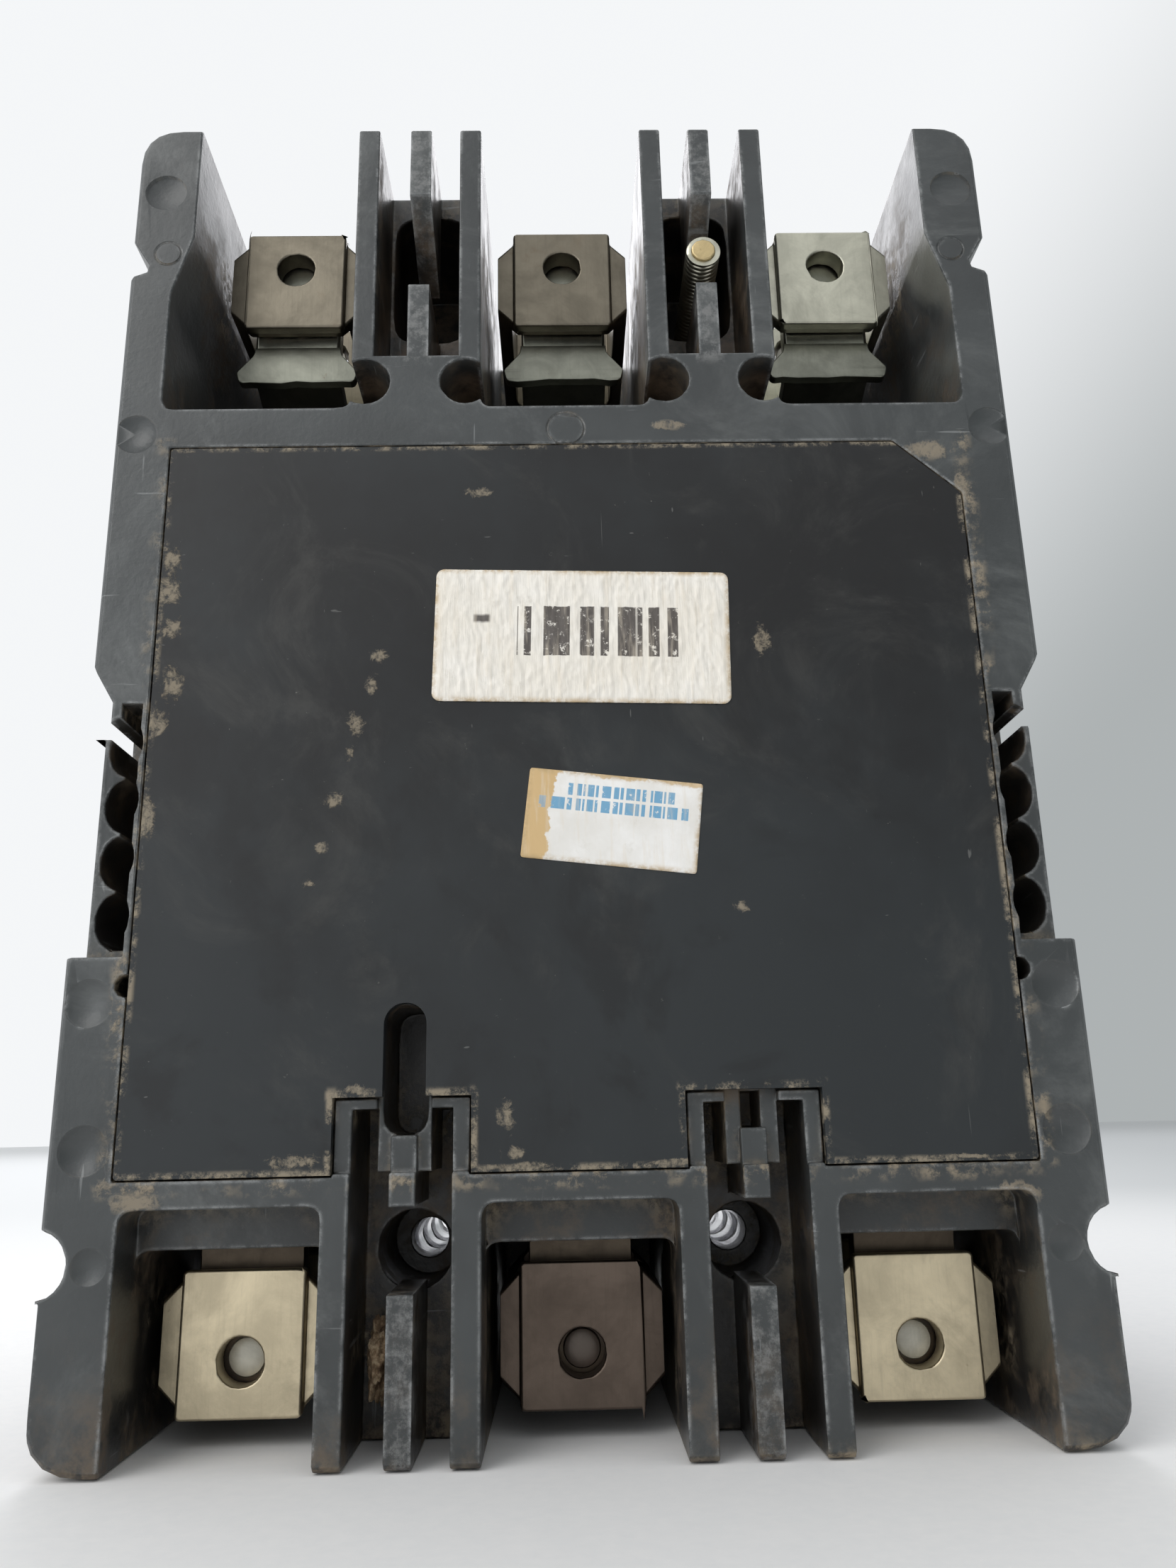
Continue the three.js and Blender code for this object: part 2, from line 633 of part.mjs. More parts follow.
// Line side: from inside the lug, with a flared tail, through the wall and back under the fixed contact.
function lineStrap(x) {
  const { halfWidth, thickness, depth } = STRAP;
  const path = [[depth, 70], [depth, 50], [23, 47], [23, 31.5], [8, 31.5], [8, 5], [12.5, 5], [12.5, 19]];
  const strip = bentStrip(path, thickness, x - halfWidth, x + halfWidth);
  const back = depth - thickness / 2;
  const tail = outline([
    [x - 5.1, 53.5],
    [x - 5.1, 52],
    [x - 7.8, 48.3],
    [x + 7.8, 48.3],
    [x + 5.1, 52],
    [x + 5.1, 53.5],
  ]);
  const contact = block([x - 2.6, x + 2.6], [11.5, 16.5], [13.5, 15.6]);
  return join(strip, slab(tail, back, back + 1.4), contact);
}

// Load side: from inside the lug, through the wall and up to the foot of the bimetal.
function loadStrap(x) {
  const { halfWidth, thickness, depth } = STRAP;
  const inner = depth - 0.15;
  const path = [[depth, -73], [depth, -58.2], [inner, -57.8], [inner, -30]];
  return bentStrip(path, thickness, x - halfWidth, x + halfWidth);
}

function bimetal(x) {
  return join(
    block([x - 4, x + 4], [-44, -32], [15.7, 16.9]),
    block([x - 4, x + 4], [-33.2, -32], [16.5, 41]),
  );
}

// A U-shaped magnet core round the bimetal, open upwards.
function magnetCore(x) {
  const outside = block([x - 6.7, x + 6.7], [-37.5, -30.2], [17.2, 34]);
  return cut(join(outside), block([x - 5.2, x + 5.2], [-36, -29], [16, 35]));
}

// Each armature turns about its lower edge, at depth 18 and height -26.8.
function armature(x) {
  return block([x - 6.5, x + 6.5], [-27.5, -26], [17, 36]);
}

// A flexible copper braid from the bimetal towards the moving contact arm.
function braid(x) {
  const path = [[39, -31.3], [41.2, -29.5], [42.2, -27], [41.5, -24.4], [39.2, -22.4]];
  return bentStrip(path, 1.6, x - 2.5, x + 2.5);
}

for (const { name, x } of POLES) {
  addPiece(`line_strap_${name}`, lineStrap(x), MATERIALS.zinc);
  addPiece(`load_strap_${name}`, loadStrap(x), MATERIALS.zinc);
  addPiece(`bimetal_${name}`, bimetal(x), MATERIALS.brass);
  addPiece(`magnet_core_${name}`, magnetCore(x), MATERIALS.darkSteel);
  addPiece(`armature_${name}`, armature(x), MATERIALS.darkSteel);
  addPiece(`braid_${name}`, braid(x), MATERIALS.copper);
}

// ---------------------------------------------------------------- arc chutes

// Steel splitter plates with a V notch for the contact tip, held between two fibre sides.
function arcChute(x) {
  const sides = SIDES.map((side) => {
    const range = onSide(side, [9, 9.8]);
    return block([x + range[0], x + range[1]], [17, 29.8], [16, 43]);
  });
  const plate = outline([
    [x - 9.3, 17],
    [x - 4.5, 17],
    [x - 3.4, 22.6],
    [x, 26],
    [x + 3.4, 22.6],
    [x + 4.5, 17],
    [x + 9.3, 17],
    [x + 9.3, 29.2],
    [x - 9.3, 29.2],
  ]);
  const plates = [18, 22.5, 27, 31.5, 36, 40.5].map((depth) => slab(plate, depth, depth + 1.2));
  return join(sides, plates);
}

for (const { name, x } of POLES) {
  addPiece(`arc_chute_${name}`, arcChute(x), MATERIALS.chuteFibre);
}

// ---------------------------------------------------------------- crossbar and contact arms

// Everything on the crossbar is drawn closed, in its own frame, and turned to the open position by its group.
function turnedAbout([depth, z], openDeg) {
  const group = new THREE.Group();
  group.position.set(0, -depth, z);
  group.rotation.x = THREE.MathUtils.degToRad(openDeg);
  breaker.add(group);
  return group;
}

const ORIGIN = [0, 0];
const armDepth = CONTACT_TIP_ON[0] - CROSSBAR[0];
const armHeight = CONTACT_TIP_ON[1] - CROSSBAR[1];
const armLength = Math.hypot(armDepth, armHeight);
const ARM_ON_DEG = THREE.MathUtils.radToDeg(Math.atan2(armDepth, armHeight));

// A bar with round ends between two side-on points.
function linkPlate(start, end, radius, x0, x1) {
  const from = new THREE.Vector2(...start);
  const to = new THREE.Vector2(...end);
  const angle = to.clone().sub(from).angle();
  const shape = new THREE.Shape();
  shape.absarc(from.x, from.y, radius, angle + Math.PI / 2, angle + Math.PI * 1.5);
  shape.absarc(to.x, to.y, radius, angle - Math.PI / 2, angle + Math.PI / 2);
  return sidePlate(shape, x0, x1);
}

const armPivot = swung(ORIGIN, ARM_PIVOT_OUT, ARM_ON_DEG);

function crossbar() {
  const carriers = POLES.map(({ x }) => axle(ORIGIN, CARRIER_R, x - 4.8, x + 4.8, 12));
  const leverEnd = swung(ORIGIN, LEVER_LENGTH, LEVER_ON_DEG);
  const levers = SIDES.map((side) => linkPlate(ORIGIN, leverEnd, 2.8, ...onSide(side, [7, 8.6])));
  const pinHole = axle(leverEnd, 1.8, -9, 9, 8);
  const armSlots = POLES.flatMap(({ x }) => [
    linkPlate(armPivot, swung(armPivot, 12, ARM_ON_DEG), 3.2, x - 2.8, x + 2.8),
    linkPlate(armPivot, swung(armPivot, 12, ARM_ON_DEG + ARM_SWING_DEG), 3.2, x - 2.8, x + 2.8),
    axle(armPivot, 1.65, x - 5.5, x + 5.5, 8),
  ]);
  return cut(join(axle(ORIGIN, CROSSBAR_R, -44, 44, 12), carriers, levers), pinHole, armSlots);
}

// A copper arm with its pivot pin and its silver contact.
function contactArm(x) {
  const tip = swung(ORIGIN, armLength, ARM_ON_DEG);
  const padBack = 15.9 - CROSSBAR[0];
  const padZ = CONTACT_TIP_ON[1] - CROSSBAR[1];
  return join(
    linkPlate(armPivot, tip, 2.4, x - 2.4, x + 2.4),
    axle(armPivot, 1.3, x - 4.6, x + 4.6, 8),
    block([x - 2.4, x + 2.4], [padZ - 2.4, padZ + 2.2], [padBack, padBack + 3]),
  );
}

const crossbarGroup = turnedAbout(CROSSBAR, CROSSBAR_TURN_DEG);
addPiece("crossbar", crossbar(), MATERIALS.black, crossbarGroup);
for (const { name, x } of POLES) {
  addPiece(`contact_arm_${name}`, contactArm(x), MATERIALS.copper, crossbarGroup);
}

// ---------------------------------------------------------------- over-centre linkage

// Where two links of known length meet, on the side towards the toggle.
function knee(from, to, fromLength, toLength) {
  const a = new THREE.Vector2(...from);
  const span = new THREE.Vector2(...to).sub(a);
  const distance = span.length();
  const along = (fromLength ** 2 - toLength ** 2 + distance ** 2) / (2 * distance);
  const aside = Math.sqrt(fromLength ** 2 - along ** 2);
  const direction = span.divideScalar(distance);
  const outwards = new THREE.Vector2(direction.y, -direction.x);
  return a.addScaledVector(direction, along).addScaledVector(outwards, aside).toArray();
}

const leverOff = swung(CROSSBAR, LEVER_LENGTH, LEVER_ON_DEG + CROSSBAR_TURN_DEG);
const kneeOff = knee(LINK_PIVOT, leverOff, UPPER_LINK, LOWER_LINK);

function upperLink() {
  const plates = SIDES.map((side) => linkPlate(LINK_PIVOT, kneeOff, 2.6, ...onSide(side, [3.6, 4.8])));
  return cut(join(plates, axle(kneeOff, 1.4, -9, 9, 8)), axle(LINK_PIVOT, 1.9, -6, 6, 8));
}

function lowerLink() {
  const plates = SIDES.map((side) => linkPlate(leverOff, kneeOff, 3.1, ...onSide(side, [5.1, 6.3])));
  return cut(join(plates, axle(leverOff, 1.45, -8.8, 8.8, 8)), axle(kneeOff, KNEE_HOLE_R, -9, 9));
}

// The latched lever that carries the fixed end of the linkage.
function cradle() {
  const plate = outline([
    [44.6, 25, 2],
    [49, 29, 2],
    [61, 20, 3],
    [64.5, 4, 3],
    [63, -8, 3],
    [58.5, -19],
    [54, -33, 1],
    [49.5, -33, 1],
    [51.6, -20],
    [51.8, -12.6, 1.5],
    [57.6, -8.5, 2],
    [58.6, 4, 2],
    [56, 14, 3],
  ]);
  const body = cut(join(sidePlate(plate, -0.9, 0.9)), axle(CRADLE_PIVOT, 2.1, -2, 2, 12));
  return body.add(join(axle(LINK_PIVOT, 1.5, -5.1, 5.1, 12)));
}

function mechanismFrame() {
  const plate = outline([
    [5.4, -28],
    [5.4, 13],
    [38, 13],
    [43, 29.5, 3],
    [66, 29.5, 3],
    [66, -30, 3],
    [40, -28],
  ]);
  const plates = SIDES.map((side) => sidePlate(plate, ...onSide(side, FRAME_X)));
  const spacers = [[13, -24], [62.5, 26], [62.5, -26.5]].map((at) =>
    axle(at, 1.8, -FRAME_X[1], FRAME_X[1], 8),
  );
  const cradlePin = axle(CRADLE_PIVOT, 1.8, -FRAME_X[1], FRAME_X[1], 8);
  const studs = SIDES.map((side) => axle(HANDLE_PIVOT, 2, ...onSide(side, [9.2, FRAME_X[1]]), 12));
  const windows = [axle(CROSSBAR, CROSSBAR_R + 0.6, -13, 13)];
  return cut(join(plates, spacers, cradlePin), windows).add(join(studs));
}

addPiece("upper_link", upperLink(), MATERIALS.darkSteel);
addPiece("lower_link", lowerLink(), MATERIALS.darkSteel);
addPiece("cradle", cradle(), MATERIALS.darkSteel);
addPiece("mechanism_frame", mechanismFrame(), MATERIALS.zinc);

// ---------------------------------------------------------------- toggle

// The toggle and its yoke are drawn pointing straight out and tilted down to "off" by their group.
const toggleGroup = turnedAbout(HANDLE_PIVOT, HANDLE_OFF_DEG);

const YOKE_BRIDGE = [14.2, 15.8];

function handleYoke() {
  const leg = outline([
    [-4, -4, 3],
    [3, -4.5],
    [YOKE_BRIDGE[1], -4],
    [YOKE_BRIDGE[1], 4],
    [3, 4.5],
    [-4, 4, 3],
  ]);
  const legs = SIDES.map((side) => sidePlate(leg, ...onSide(side, YOKE_X)));
  const bridge = block([-YOKE_X[1], YOKE_X[1]], [-4, 4], YOKE_BRIDGE);
  return cut(join(legs, bridge), axle(ORIGIN, 2.25, -11, 11, 12));
}

// A grip that narrows forwards, on a foot that sits over the bridge of the yoke.
function toggleHandle() {
  const grip = outline([[17, -5], [22, -5.6], [44, -4.2, 2.5], [44, 4.2, 2.5], [22, 5.6], [17, 5]]);
  const foot = block([-6, 6], [-4, 4], [YOKE_BRIDGE[1] + GAP, 18]);
  return join(sidePlate(grip, -7.3, 7.3), foot);
}

addPiece("handle_yoke", handleYoke(), MATERIALS.zinc, toggleGroup);
addPiece("toggle_handle", toggleHandle(), MATERIALS.black, toggleGroup);

// A flat shield that slides under the cover with the toggle and keeps its slot closed.
const SHIELD = { depths: [77.6, 78.8], halfWidth: 10.6, halfHeight: 29, windowX: 7.9, windowZ: 7.2 };

function handleShield() {
  const { depths, halfWidth, halfHeight, windowX, windowZ } = SHIELD;
  const reach = (depths[0] + depths[1]) / 2 - HANDLE_PIVOT[0];
  const z = -reach * Math.tan(THREE.MathUtils.degToRad(HANDLE_OFF_DEG));
  const sheet = block([-halfWidth, halfWidth], [z - halfHeight, z + halfHeight], depths);
  return cut(join(sheet), block([-windowX, windowX], [z - windowZ, z + windowZ], [70, 85]));
}

addPiece("handle_shield", handleShield(), MATERIALS.black);

// ---------------------------------------------------------------- main springs

class Helix extends THREE.Curve {
  constructor(radius, length, turns) {
    super();
    Object.assign(this, { radius, length, turns });
  }

  getPoint(t, target = new THREE.Vector3()) {
    const angle = t * this.turns * 2 * Math.PI;
    return target.set(this.radius * Math.cos(angle), this.radius * Math.sin(angle), t * this.length);
  }
}

const SPRING = { radius: 1.4, wire: 0.45, turns: 6, stepsPerTurn: 6, clearance: 3.6 };

// A tension spring from the knee of the linkage to the bridge of the yoke.
function mainSpring(x) {
  const bridgeEnd = swung(HANDLE_PIVOT, YOKE_BRIDGE[0] - 1.2, 90 + HANDLE_OFF_DEG);
  const from = new THREE.Vector3(x, -kneeOff[0], kneeOff[1]);
  const to = new THREE.Vector3(x, -bridgeEnd[0], bridgeEnd[1]);
  const direction = to.clone().sub(from).normalize();
  const length = from.distanceTo(to) - SPRING.clearance;
  const wire = new THREE.Shape().absarc(0, 0, SPRING.wire, 0, 2 * Math.PI);
  const coil = new THREE.ExtrudeGeometry(wire, {
    steps: SPRING.turns * SPRING.stepsPerTurn,
    curveSegments: 2,
    bevelEnabled: false,
    extrudePath: new Helix(SPRING.radius, length, SPRING.turns),
  });
  coil.applyQuaternion(new THREE.Quaternion().setFromUnitVectors(Z_AXIS, direction));
  const start = from.addScaledVector(direction, SPRING.clearance);
  return coil.translate(start.x, start.y, start.z);
}

addPiece("main_spring_left", mainSpring(-7.2), MATERIALS.darkSteel);
addPiece("main_spring_right", mainSpring(7.2), MATERIALS.darkSteel);

// ---------------------------------------------------------------- trip bar and trip button

function tripBar() {
  const bar = axle(TRIP_BAR, TRIP_BAR_R, -46, 46, 16);
  const fingers = POLES.map(({ x }) => block([x - 3, x + 3], [-39.5, -35.8], [37.5, 45]));
  const catchFinger = block([-1.5, 1.5], [-41, -37.6], [46, 52]);
  return join(bar, fingers, catchFinger);
}

function tripButton() {
  const { x, z } = TRIP_BUTTON;
  return join(
    post(x, z, 2.7, 78, 84.2, 18),
    post(x, z, 4.2, 77.4, COVER_BAY_DEPTH - GAP, 18),
    post(x, z, 1.8, 51.5, 78, 12),
  );
}

addPiece("trip_bar", tripBar(), MATERIALS.black);
addPiece("trip_button", tripButton(), MATERIALS.red);

export default breaker;
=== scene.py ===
"""Looks for a three-pole moulded-case circuit breaker, seen from its flat back."""
import json
import math

import bmesh
import bpy
from mathutils import Matrix, Vector, noise
from mathutils.bvhtree import BVHTree


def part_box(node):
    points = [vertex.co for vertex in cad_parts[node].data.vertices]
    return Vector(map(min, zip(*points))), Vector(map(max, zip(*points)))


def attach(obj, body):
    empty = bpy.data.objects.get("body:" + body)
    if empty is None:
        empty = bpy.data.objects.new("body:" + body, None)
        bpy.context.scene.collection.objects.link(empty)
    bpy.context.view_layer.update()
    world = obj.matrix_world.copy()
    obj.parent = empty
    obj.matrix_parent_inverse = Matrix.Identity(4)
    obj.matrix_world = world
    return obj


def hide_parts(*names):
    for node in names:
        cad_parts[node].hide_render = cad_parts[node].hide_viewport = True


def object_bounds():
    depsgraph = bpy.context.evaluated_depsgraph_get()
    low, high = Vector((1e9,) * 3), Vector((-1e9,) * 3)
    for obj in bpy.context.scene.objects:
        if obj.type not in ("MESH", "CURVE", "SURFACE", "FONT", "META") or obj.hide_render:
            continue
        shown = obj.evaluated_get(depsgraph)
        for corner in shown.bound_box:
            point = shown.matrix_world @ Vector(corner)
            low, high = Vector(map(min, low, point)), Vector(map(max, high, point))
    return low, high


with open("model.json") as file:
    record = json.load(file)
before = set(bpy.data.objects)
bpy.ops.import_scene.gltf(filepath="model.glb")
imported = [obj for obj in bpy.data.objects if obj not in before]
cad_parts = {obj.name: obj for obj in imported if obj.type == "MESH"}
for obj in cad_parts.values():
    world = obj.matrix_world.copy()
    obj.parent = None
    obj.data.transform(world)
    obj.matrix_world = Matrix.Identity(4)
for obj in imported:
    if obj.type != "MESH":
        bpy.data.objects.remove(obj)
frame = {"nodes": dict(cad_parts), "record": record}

MM = 0.001
cad_low, cad_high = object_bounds()

# ---------------------------------------------------------------- places, in millimetres in the row frame

POLE_PITCH = 34.9
POLES = {"left": -POLE_PITCH, "centre": 0.0, "right": POLE_PITCH}
BETWEEN_POLES = POLE_PITCH / 2
SIDES = {"left": -1, "right": 1}
MOUNT_Z = 58  # of the mounting holes, at both ends

# The two labels on the back: tilt in degrees, height of the creases in millimetres.
LABELS = {
    "label_large": {
        "centre": (-1.4, 6.7),
        "size": (32.9, 15.7),
        "radius": 0.9,
        "tilt": 1.5,
        "creases": 0.30,
        "seed": 3,
    },
    "label_small": {
        "centre": (-4.2, -14.5),
        "size": (18.7, 9.9),
        "radius": 0.3,
        "tilt": 6.7,
        "creases": 0.035,
        "seed": 11,
    },
}
# Height of a label's face above the back, and its thickness.
LABEL_LIFT = 0.08
LABEL_THICKNESS = 0.09

# The two notches in the foot of the back plate, between |x| and up to z.
NOTCH_INNER, NOTCH_OUTER, NOTCH_TOP = 10.74, 24.56, -42.54

scene = bpy.context.scene
scene.view_settings.view_transform = "Standard"


# ---------------------------------------------------------------- camera, light and floor

# Place in metres, turn in degrees, lens and sensor in millimetres.
CAMERA_PLACE = (0.00122, 0.12453, -0.04532)
CAMERA_TURN = (105.651, 1.26, 179.022)
CAMERA_LENS, CAMERA_SENSOR = 27.62, 36

# The room's colour low down towards -X and overhead.
ROOM_LOW = (0.42, 0.445, 0.45)
ROOM_HIGH = (0.91, 0.925, 0.94)

# Half the floor's width and its gap under the object, in metres.
FLOOR_HALF, FLOOR_GAP = 3.0, 0.0002


def linked(name, data):
    """A new object in the scene."""
    thing = bpy.data.objects.new(name, data)
    scene.collection.objects.link(thing)
    return thing


def add_camera():
    data = bpy.data.cameras.new("camera")
    data.sensor_width = CAMERA_SENSOR
    data.lens = CAMERA_LENS
    data.clip_start = 0.005
    camera = linked("camera", data)
    camera.location = CAMERA_PLACE
    camera.rotation_euler = [math.radians(angle) for angle in CAMERA_TURN]
    scene.camera = camera


def add_area_light(name, place, size, power, colour):
    """A round light at a place in metres, turned towards the origin."""
    data = bpy.data.lights.new(name, "AREA")
    data.shape = "DISK"
    data.size = size
    data.energy = power
    data.color = colour
    light = linked(name, data)
    light.location = place
    light.rotation_euler = (-Vector(place)).to_track_quat("-Z", "Y").to_euler()
    return light


def add_world():
    """A pale room, brightest overhead and greyer low down towards -X."""
    world = bpy.data.worlds.new("pale_room")
    scene.world = world
    world.use_nodes = True
    tree = world.node_tree
    direction = tree.nodes.new("ShaderNodeTexCoord").outputs["Generated"]
    slope = tree.nodes.new("ShaderNodeVectorMath")
    slope.operation = "DOT_PRODUCT"
    slope.inputs[1].default_value = (0.75, 0.0, 0.66)
    tree.links.new(direction, slope.inputs[0])
    ramp = tree.nodes.new("ShaderNodeMapRange")
    ramp.interpolation_type = "SMOOTHSTEP"
    ramp.inputs["From Min"].default_value = -0.14
    ramp.inputs["From Max"].default_value = 0.24
    tree.links.new(slope.outputs["Value"], ramp.inputs["Value"])
    tone = tree.nodes.new("ShaderNodeMix")
    tone.data_type = "RGBA"
    tone.inputs[6].default_value = (*ROOM_LOW, 1)
    tone.inputs[7].default_value = (*ROOM_HIGH, 1)
    tree.links.new(ramp.outputs["Result"], tone.inputs[0])
    tree.links.new(tone.outputs[2], tree.nodes["Background"].inputs["Color"])


def add_floor():
    """White paper under the object, greyer further off, where the grey is painted shade that is darkest
    towards -X.
    """
    mesh = bpy.data.meshes.new("floor")
    half = FLOOR_HALF
    z = cad_low.z - FLOOR_GAP
    corners = [(-half, -half, z), (half, -half, z), (half, half, z), (-half, half, z)]
    mesh.from_pydata(corners, [], [(0, 1, 2, 3)])
    floor = linked("floor", mesh)
    look = Look("floor_paper")
    look.set(Roughness=0.75)
    grain = look.noise(700, detail=3)
    paper = look.ramp(grain, (0.3, (0.84, 0.84, 0.84)), (0.7, (0.87, 0.865, 0.86)))
    # Painted shade: the far floor turns greyer, darkest towards -X.
    far_shade = look.mix(look.mask(look.along("X"), -500, 250), (0.42, 0.435, 0.44), (0.72, 0.73, 0.735))
    away = look.mask(look.length(look.place), 0.13, 0.50)
    look.set(**{"Base Color": look.mix(away, paper, far_shade)})
    mesh.materials.append(look.material)


# ---------------------------------------------------------------- material helpers


class Look:
    """A material on one Principled shader, with its patterns laid out in the row frame."""

    def __init__(self, name):
        self.material = bpy.data.materials.new(name)
        self.material.use_nodes = True
        self.tree = self.material.node_tree
        self.shader = self.tree.nodes["Principled BSDF"]
        self.place = self.add("ShaderNodeTexCoord").outputs["Object"]

    def add(self, kind, inputs=None, **settings):
        node = self.tree.nodes.new(kind)
        for name, value in settings.items():
            setattr(node, name, value)
        for name, value in (inputs or {}).items():
            self.feed(node.inputs[name], value)
        return node

    def feed(self, socket, value):
        if isinstance(value, bpy.types.NodeSocket):
            self.tree.links.new(value, socket)
        elif socket.type == "RGBA" and len(value) == 3:
            socket.default_value = (*value, 1)
        else:
            socket.default_value = value

    def set(self, **inputs):
        for name, value in inputs.items():
            self.feed(self.shader.inputs[name], value)

    def stretched(self, scale, turn=(0, 0, 0)):
        """The place with each axis scaled, for grain and scratches that run one way."""
        turn = [math.radians(a) for a in turn]
        inputs = {"Vector": self.place, "Scale": scale, "Rotation": turn}
        return self.add("ShaderNodeMapping", inputs).outputs["Vector"]

    def noise(self, scale, detail=4, roughness=0.6, distortion=0, place=None):
        inputs = {
            "Vector": place or self.place,
            "Scale": scale,
            "Detail": detail,
            "Roughness": roughness,
            "Distortion": distortion,
        }
        return self.add("ShaderNodeTexNoise", inputs).outputs["Fac"]

    def mask(self, value, low, high, top=1.0):
        """0 below low, rising to top at high."""
        inputs = {"Value": value, "From Min": low, "From Max": high, "To Max": top}
        return self.add("ShaderNodeMapRange", inputs, interpolation_type="SMOOTHSTEP").outputs["Result"]

    def scaled(self, value, low, high):
        inputs = {"Value": value, "To Min": low, "To Max": high}
        return self.add("ShaderNodeMapRange", inputs).outputs["Result"]

    def math(self, operation, a, b=0.0):
        return self.add("ShaderNodeMath", {0: a, 1: b}, operation=operation).outputs[0]

    def vector(self, operation, a, b):
        return self.add("ShaderNodeVectorMath", {0: a, 1: b}, operation=operation).outputs[0]

    def length(self, a):
        return self.add("ShaderNodeVectorMath", {0: a}, operation="LENGTH").outputs["Value"]

    def times(self, *values):
        product = values[0]
        for value in values[1:]:
            product = self.math("MULTIPLY", product, value)
        return product

    def mix(self, amount, a, b):
        node = self.add("ShaderNodeMix", data_type="RGBA")
        for index, value in ((0, amount), (6, a), (7, b)):
            self.feed(node.inputs[index], value)
        return node.outputs[2]

    def ramp(self, value, *stops):
        node = self.add("ShaderNodeValToRGB", {"Fac": value})
        elements = node.color_ramp.elements
        while len(elements) < len(stops):
            elements.new(0.5)
        for element, (position, colour) in zip(elements, stops):
            element.position = position
            element.color = (*colour, 1)
        return node.outputs["Color"]

    def openness(self, distance):
        """1 in the open, falling to 0 in corners and narrow places."""
        node = self.add("ShaderNodeAmbientOcclusion", {"Distance": distance * MM}, samples=6)
        return node.outputs["AO"]

    def edges(self, radius):
        """How far the surface turns within a radius: 0 on flats, rising along every edge."""
        rounded = self.add("ShaderNodeBevel", {"Radius": radius * MM}, samples=6).outputs["Normal"]
        flat = self.add("ShaderNodeNewGeometry").outputs["Normal"]
        dot = self.add("ShaderNodeVectorMath", {0: rounded, 1: flat}, operation="DOT_PRODUCT")
        return self.math("SUBTRACT", 1.0, dot.outputs["Value"])

    def along(self, axis, place=None):
        """One coordinate of the place, in millimetres."""
        parts = self.add("ShaderNodeSeparateXYZ", {"Vector": place or self.place})
        return self.math("DIVIDE", parts.outputs[axis], MM)

    def across_and_in(self):
        """How far out a place is along X and how deep below the back, in millimetres."""
        return self.math("ABSOLUTE", self.along("X")), self.math("MULTIPLY", self.along("Y"), -1.0)

    def band(self, coordinate, middle, half, soft):
        """1 within half of the middle, fading to 0 over soft, in millimetres."""
        off = self.math("ABSOLUTE", self.math("SUBTRACT", coordinate, middle))
        return self.mask(off, half + soft, half)

    def highest(self, *values):
        top = values[0]
        for value in values[1:]:
            top = self.math("MAXIMUM", top, value)
        return top

    def patches(self, places, ragged):
        """Ragged patches on a face that looks along Y: (x, z, half width, half height) each."""
        found = []
        for x, z, half_x, half_z in places:
            offset = self.vector("SUBTRACT", self.place, (x * MM, 0, z * MM))
            size = (1 / (half_x * MM), 0, 1 / (half_z * MM))
            length = self.length(self.vector("MULTIPLY", offset, size))
            found.append(self.mask(self.math("ADD", length, ragged), 2.15, 1.75))
        return self.highest(*found)

    def bump(self, *layers):
        """Layers of (height, depth in millimetres) on the shader's normal."""
        normal = None
        for height, depth in layers:
            inputs = {"Height": height, "Distance": depth * MM, "Strength": 1.0}
            if normal is not None:
                inputs["Normal"] = normal
            normal = self.add("ShaderNodeBump", inputs).outputs["Normal"]
        self.set(Normal=normal)


# ---------------------------------------------------------------- materials


TAN = (0.30, 0.245, 0.17)
# The near-black of the painted shade and soot in the housing's pockets.
SHADE_AND_SOOT = (0.012, 0.0095, 0.008)
BROWN_GRIME = (0.135, 0.098, 0.064)
BROWN_STAIN = (0.13, 0.075, 0.035)

# The seam round the back plate on the housing: |x| of its sides and z of its foot.
SEAM_X, SEAM_Z = 46.4, -50.6


def tinted(colour, k):
    return tuple(min(part * k, 1) for part in colour)


def thermoset(name, colour):
    """Filled phenolic moulding: satin, faintly mottled, pale where edges rub, dusty in the corners."""
    look = Look(name)
    mottle = look.mask(look.noise(70, detail=3), 0.35, 0.68)
    body = look.mix(mottle, tinted(colour, 0.84), tinted(colour, 1.14))
    grains = look.mask(look.noise(2400, detail=2), 0.66, 0.76, top=0.22)
    body = look.mix(grains, body, tinted(colour, 2.4))
    smears = look.mask(look.noise(38, detail=7, roughness=0.72, distortion=0.9), 0.48, 0.74, top=0.55)
    body = look.mix(smears, body, (0.145, 0.152, 0.15))

    ragged = look.noise(520, detail=6, roughness=0.72)
    drifts = look.mask(look.noise(110, detail=4), 0.40, 0.60)
    near = look.openness(3.5)
    body, brown = in_deep_places(look, body, ragged)
    film = look.times(look.mask(near, 0.80, 0.36), look.mask(ragged, 0.40, 0.60), drifts, 0.9)
    settled = settled_dust(look, ragged, drifts)
    body = look.mix(settled, look.mix(film, body, TAN), TAN)
    body = beside_the_fins(look, body)
    body, chips = rubbed(look, body, near)
    look.set(**{"Base Color": body})

    gloss = look.scaled(look.noise(160, detail=5), 0.24, 0.46)
    look.set(Roughness=look.math("ADD", gloss, look.times(look.highest(film, settled, brown), 0.4)))
    look.bump(
        (look.noise(1400, detail=4), 0.035),
        (look.noise(190, detail=2), 0.05),
        (look.highest(film, settled), 0.08),
        (chips, -0.05),
    )
    return look.material


def in_deep_places(look, body, ragged):
    """Painted shade with soot, and brown grime, in the pockets. Gives the colour and where the grime is."""
    deep = look.openness(22)
    # Painted shade, with soot: near-black in every pocket, darkest where it is most closed in.
    shade_and_soot = look.mask(deep, 0.66, 0.13, top=0.93)
    clouds = look.mask(look.noise(95, detail=6, roughness=0.7), 0.47, 0.66)
    brown = look.times(look.mask(deep, 0.84, 0.50), clouds, look.mask(ragged, 0.30, 0.56), 0.8)
    return look.mix(brown, look.mix(shade_and_soot, body, SHADE_AND_SOOT), BROWN_GRIME), brown


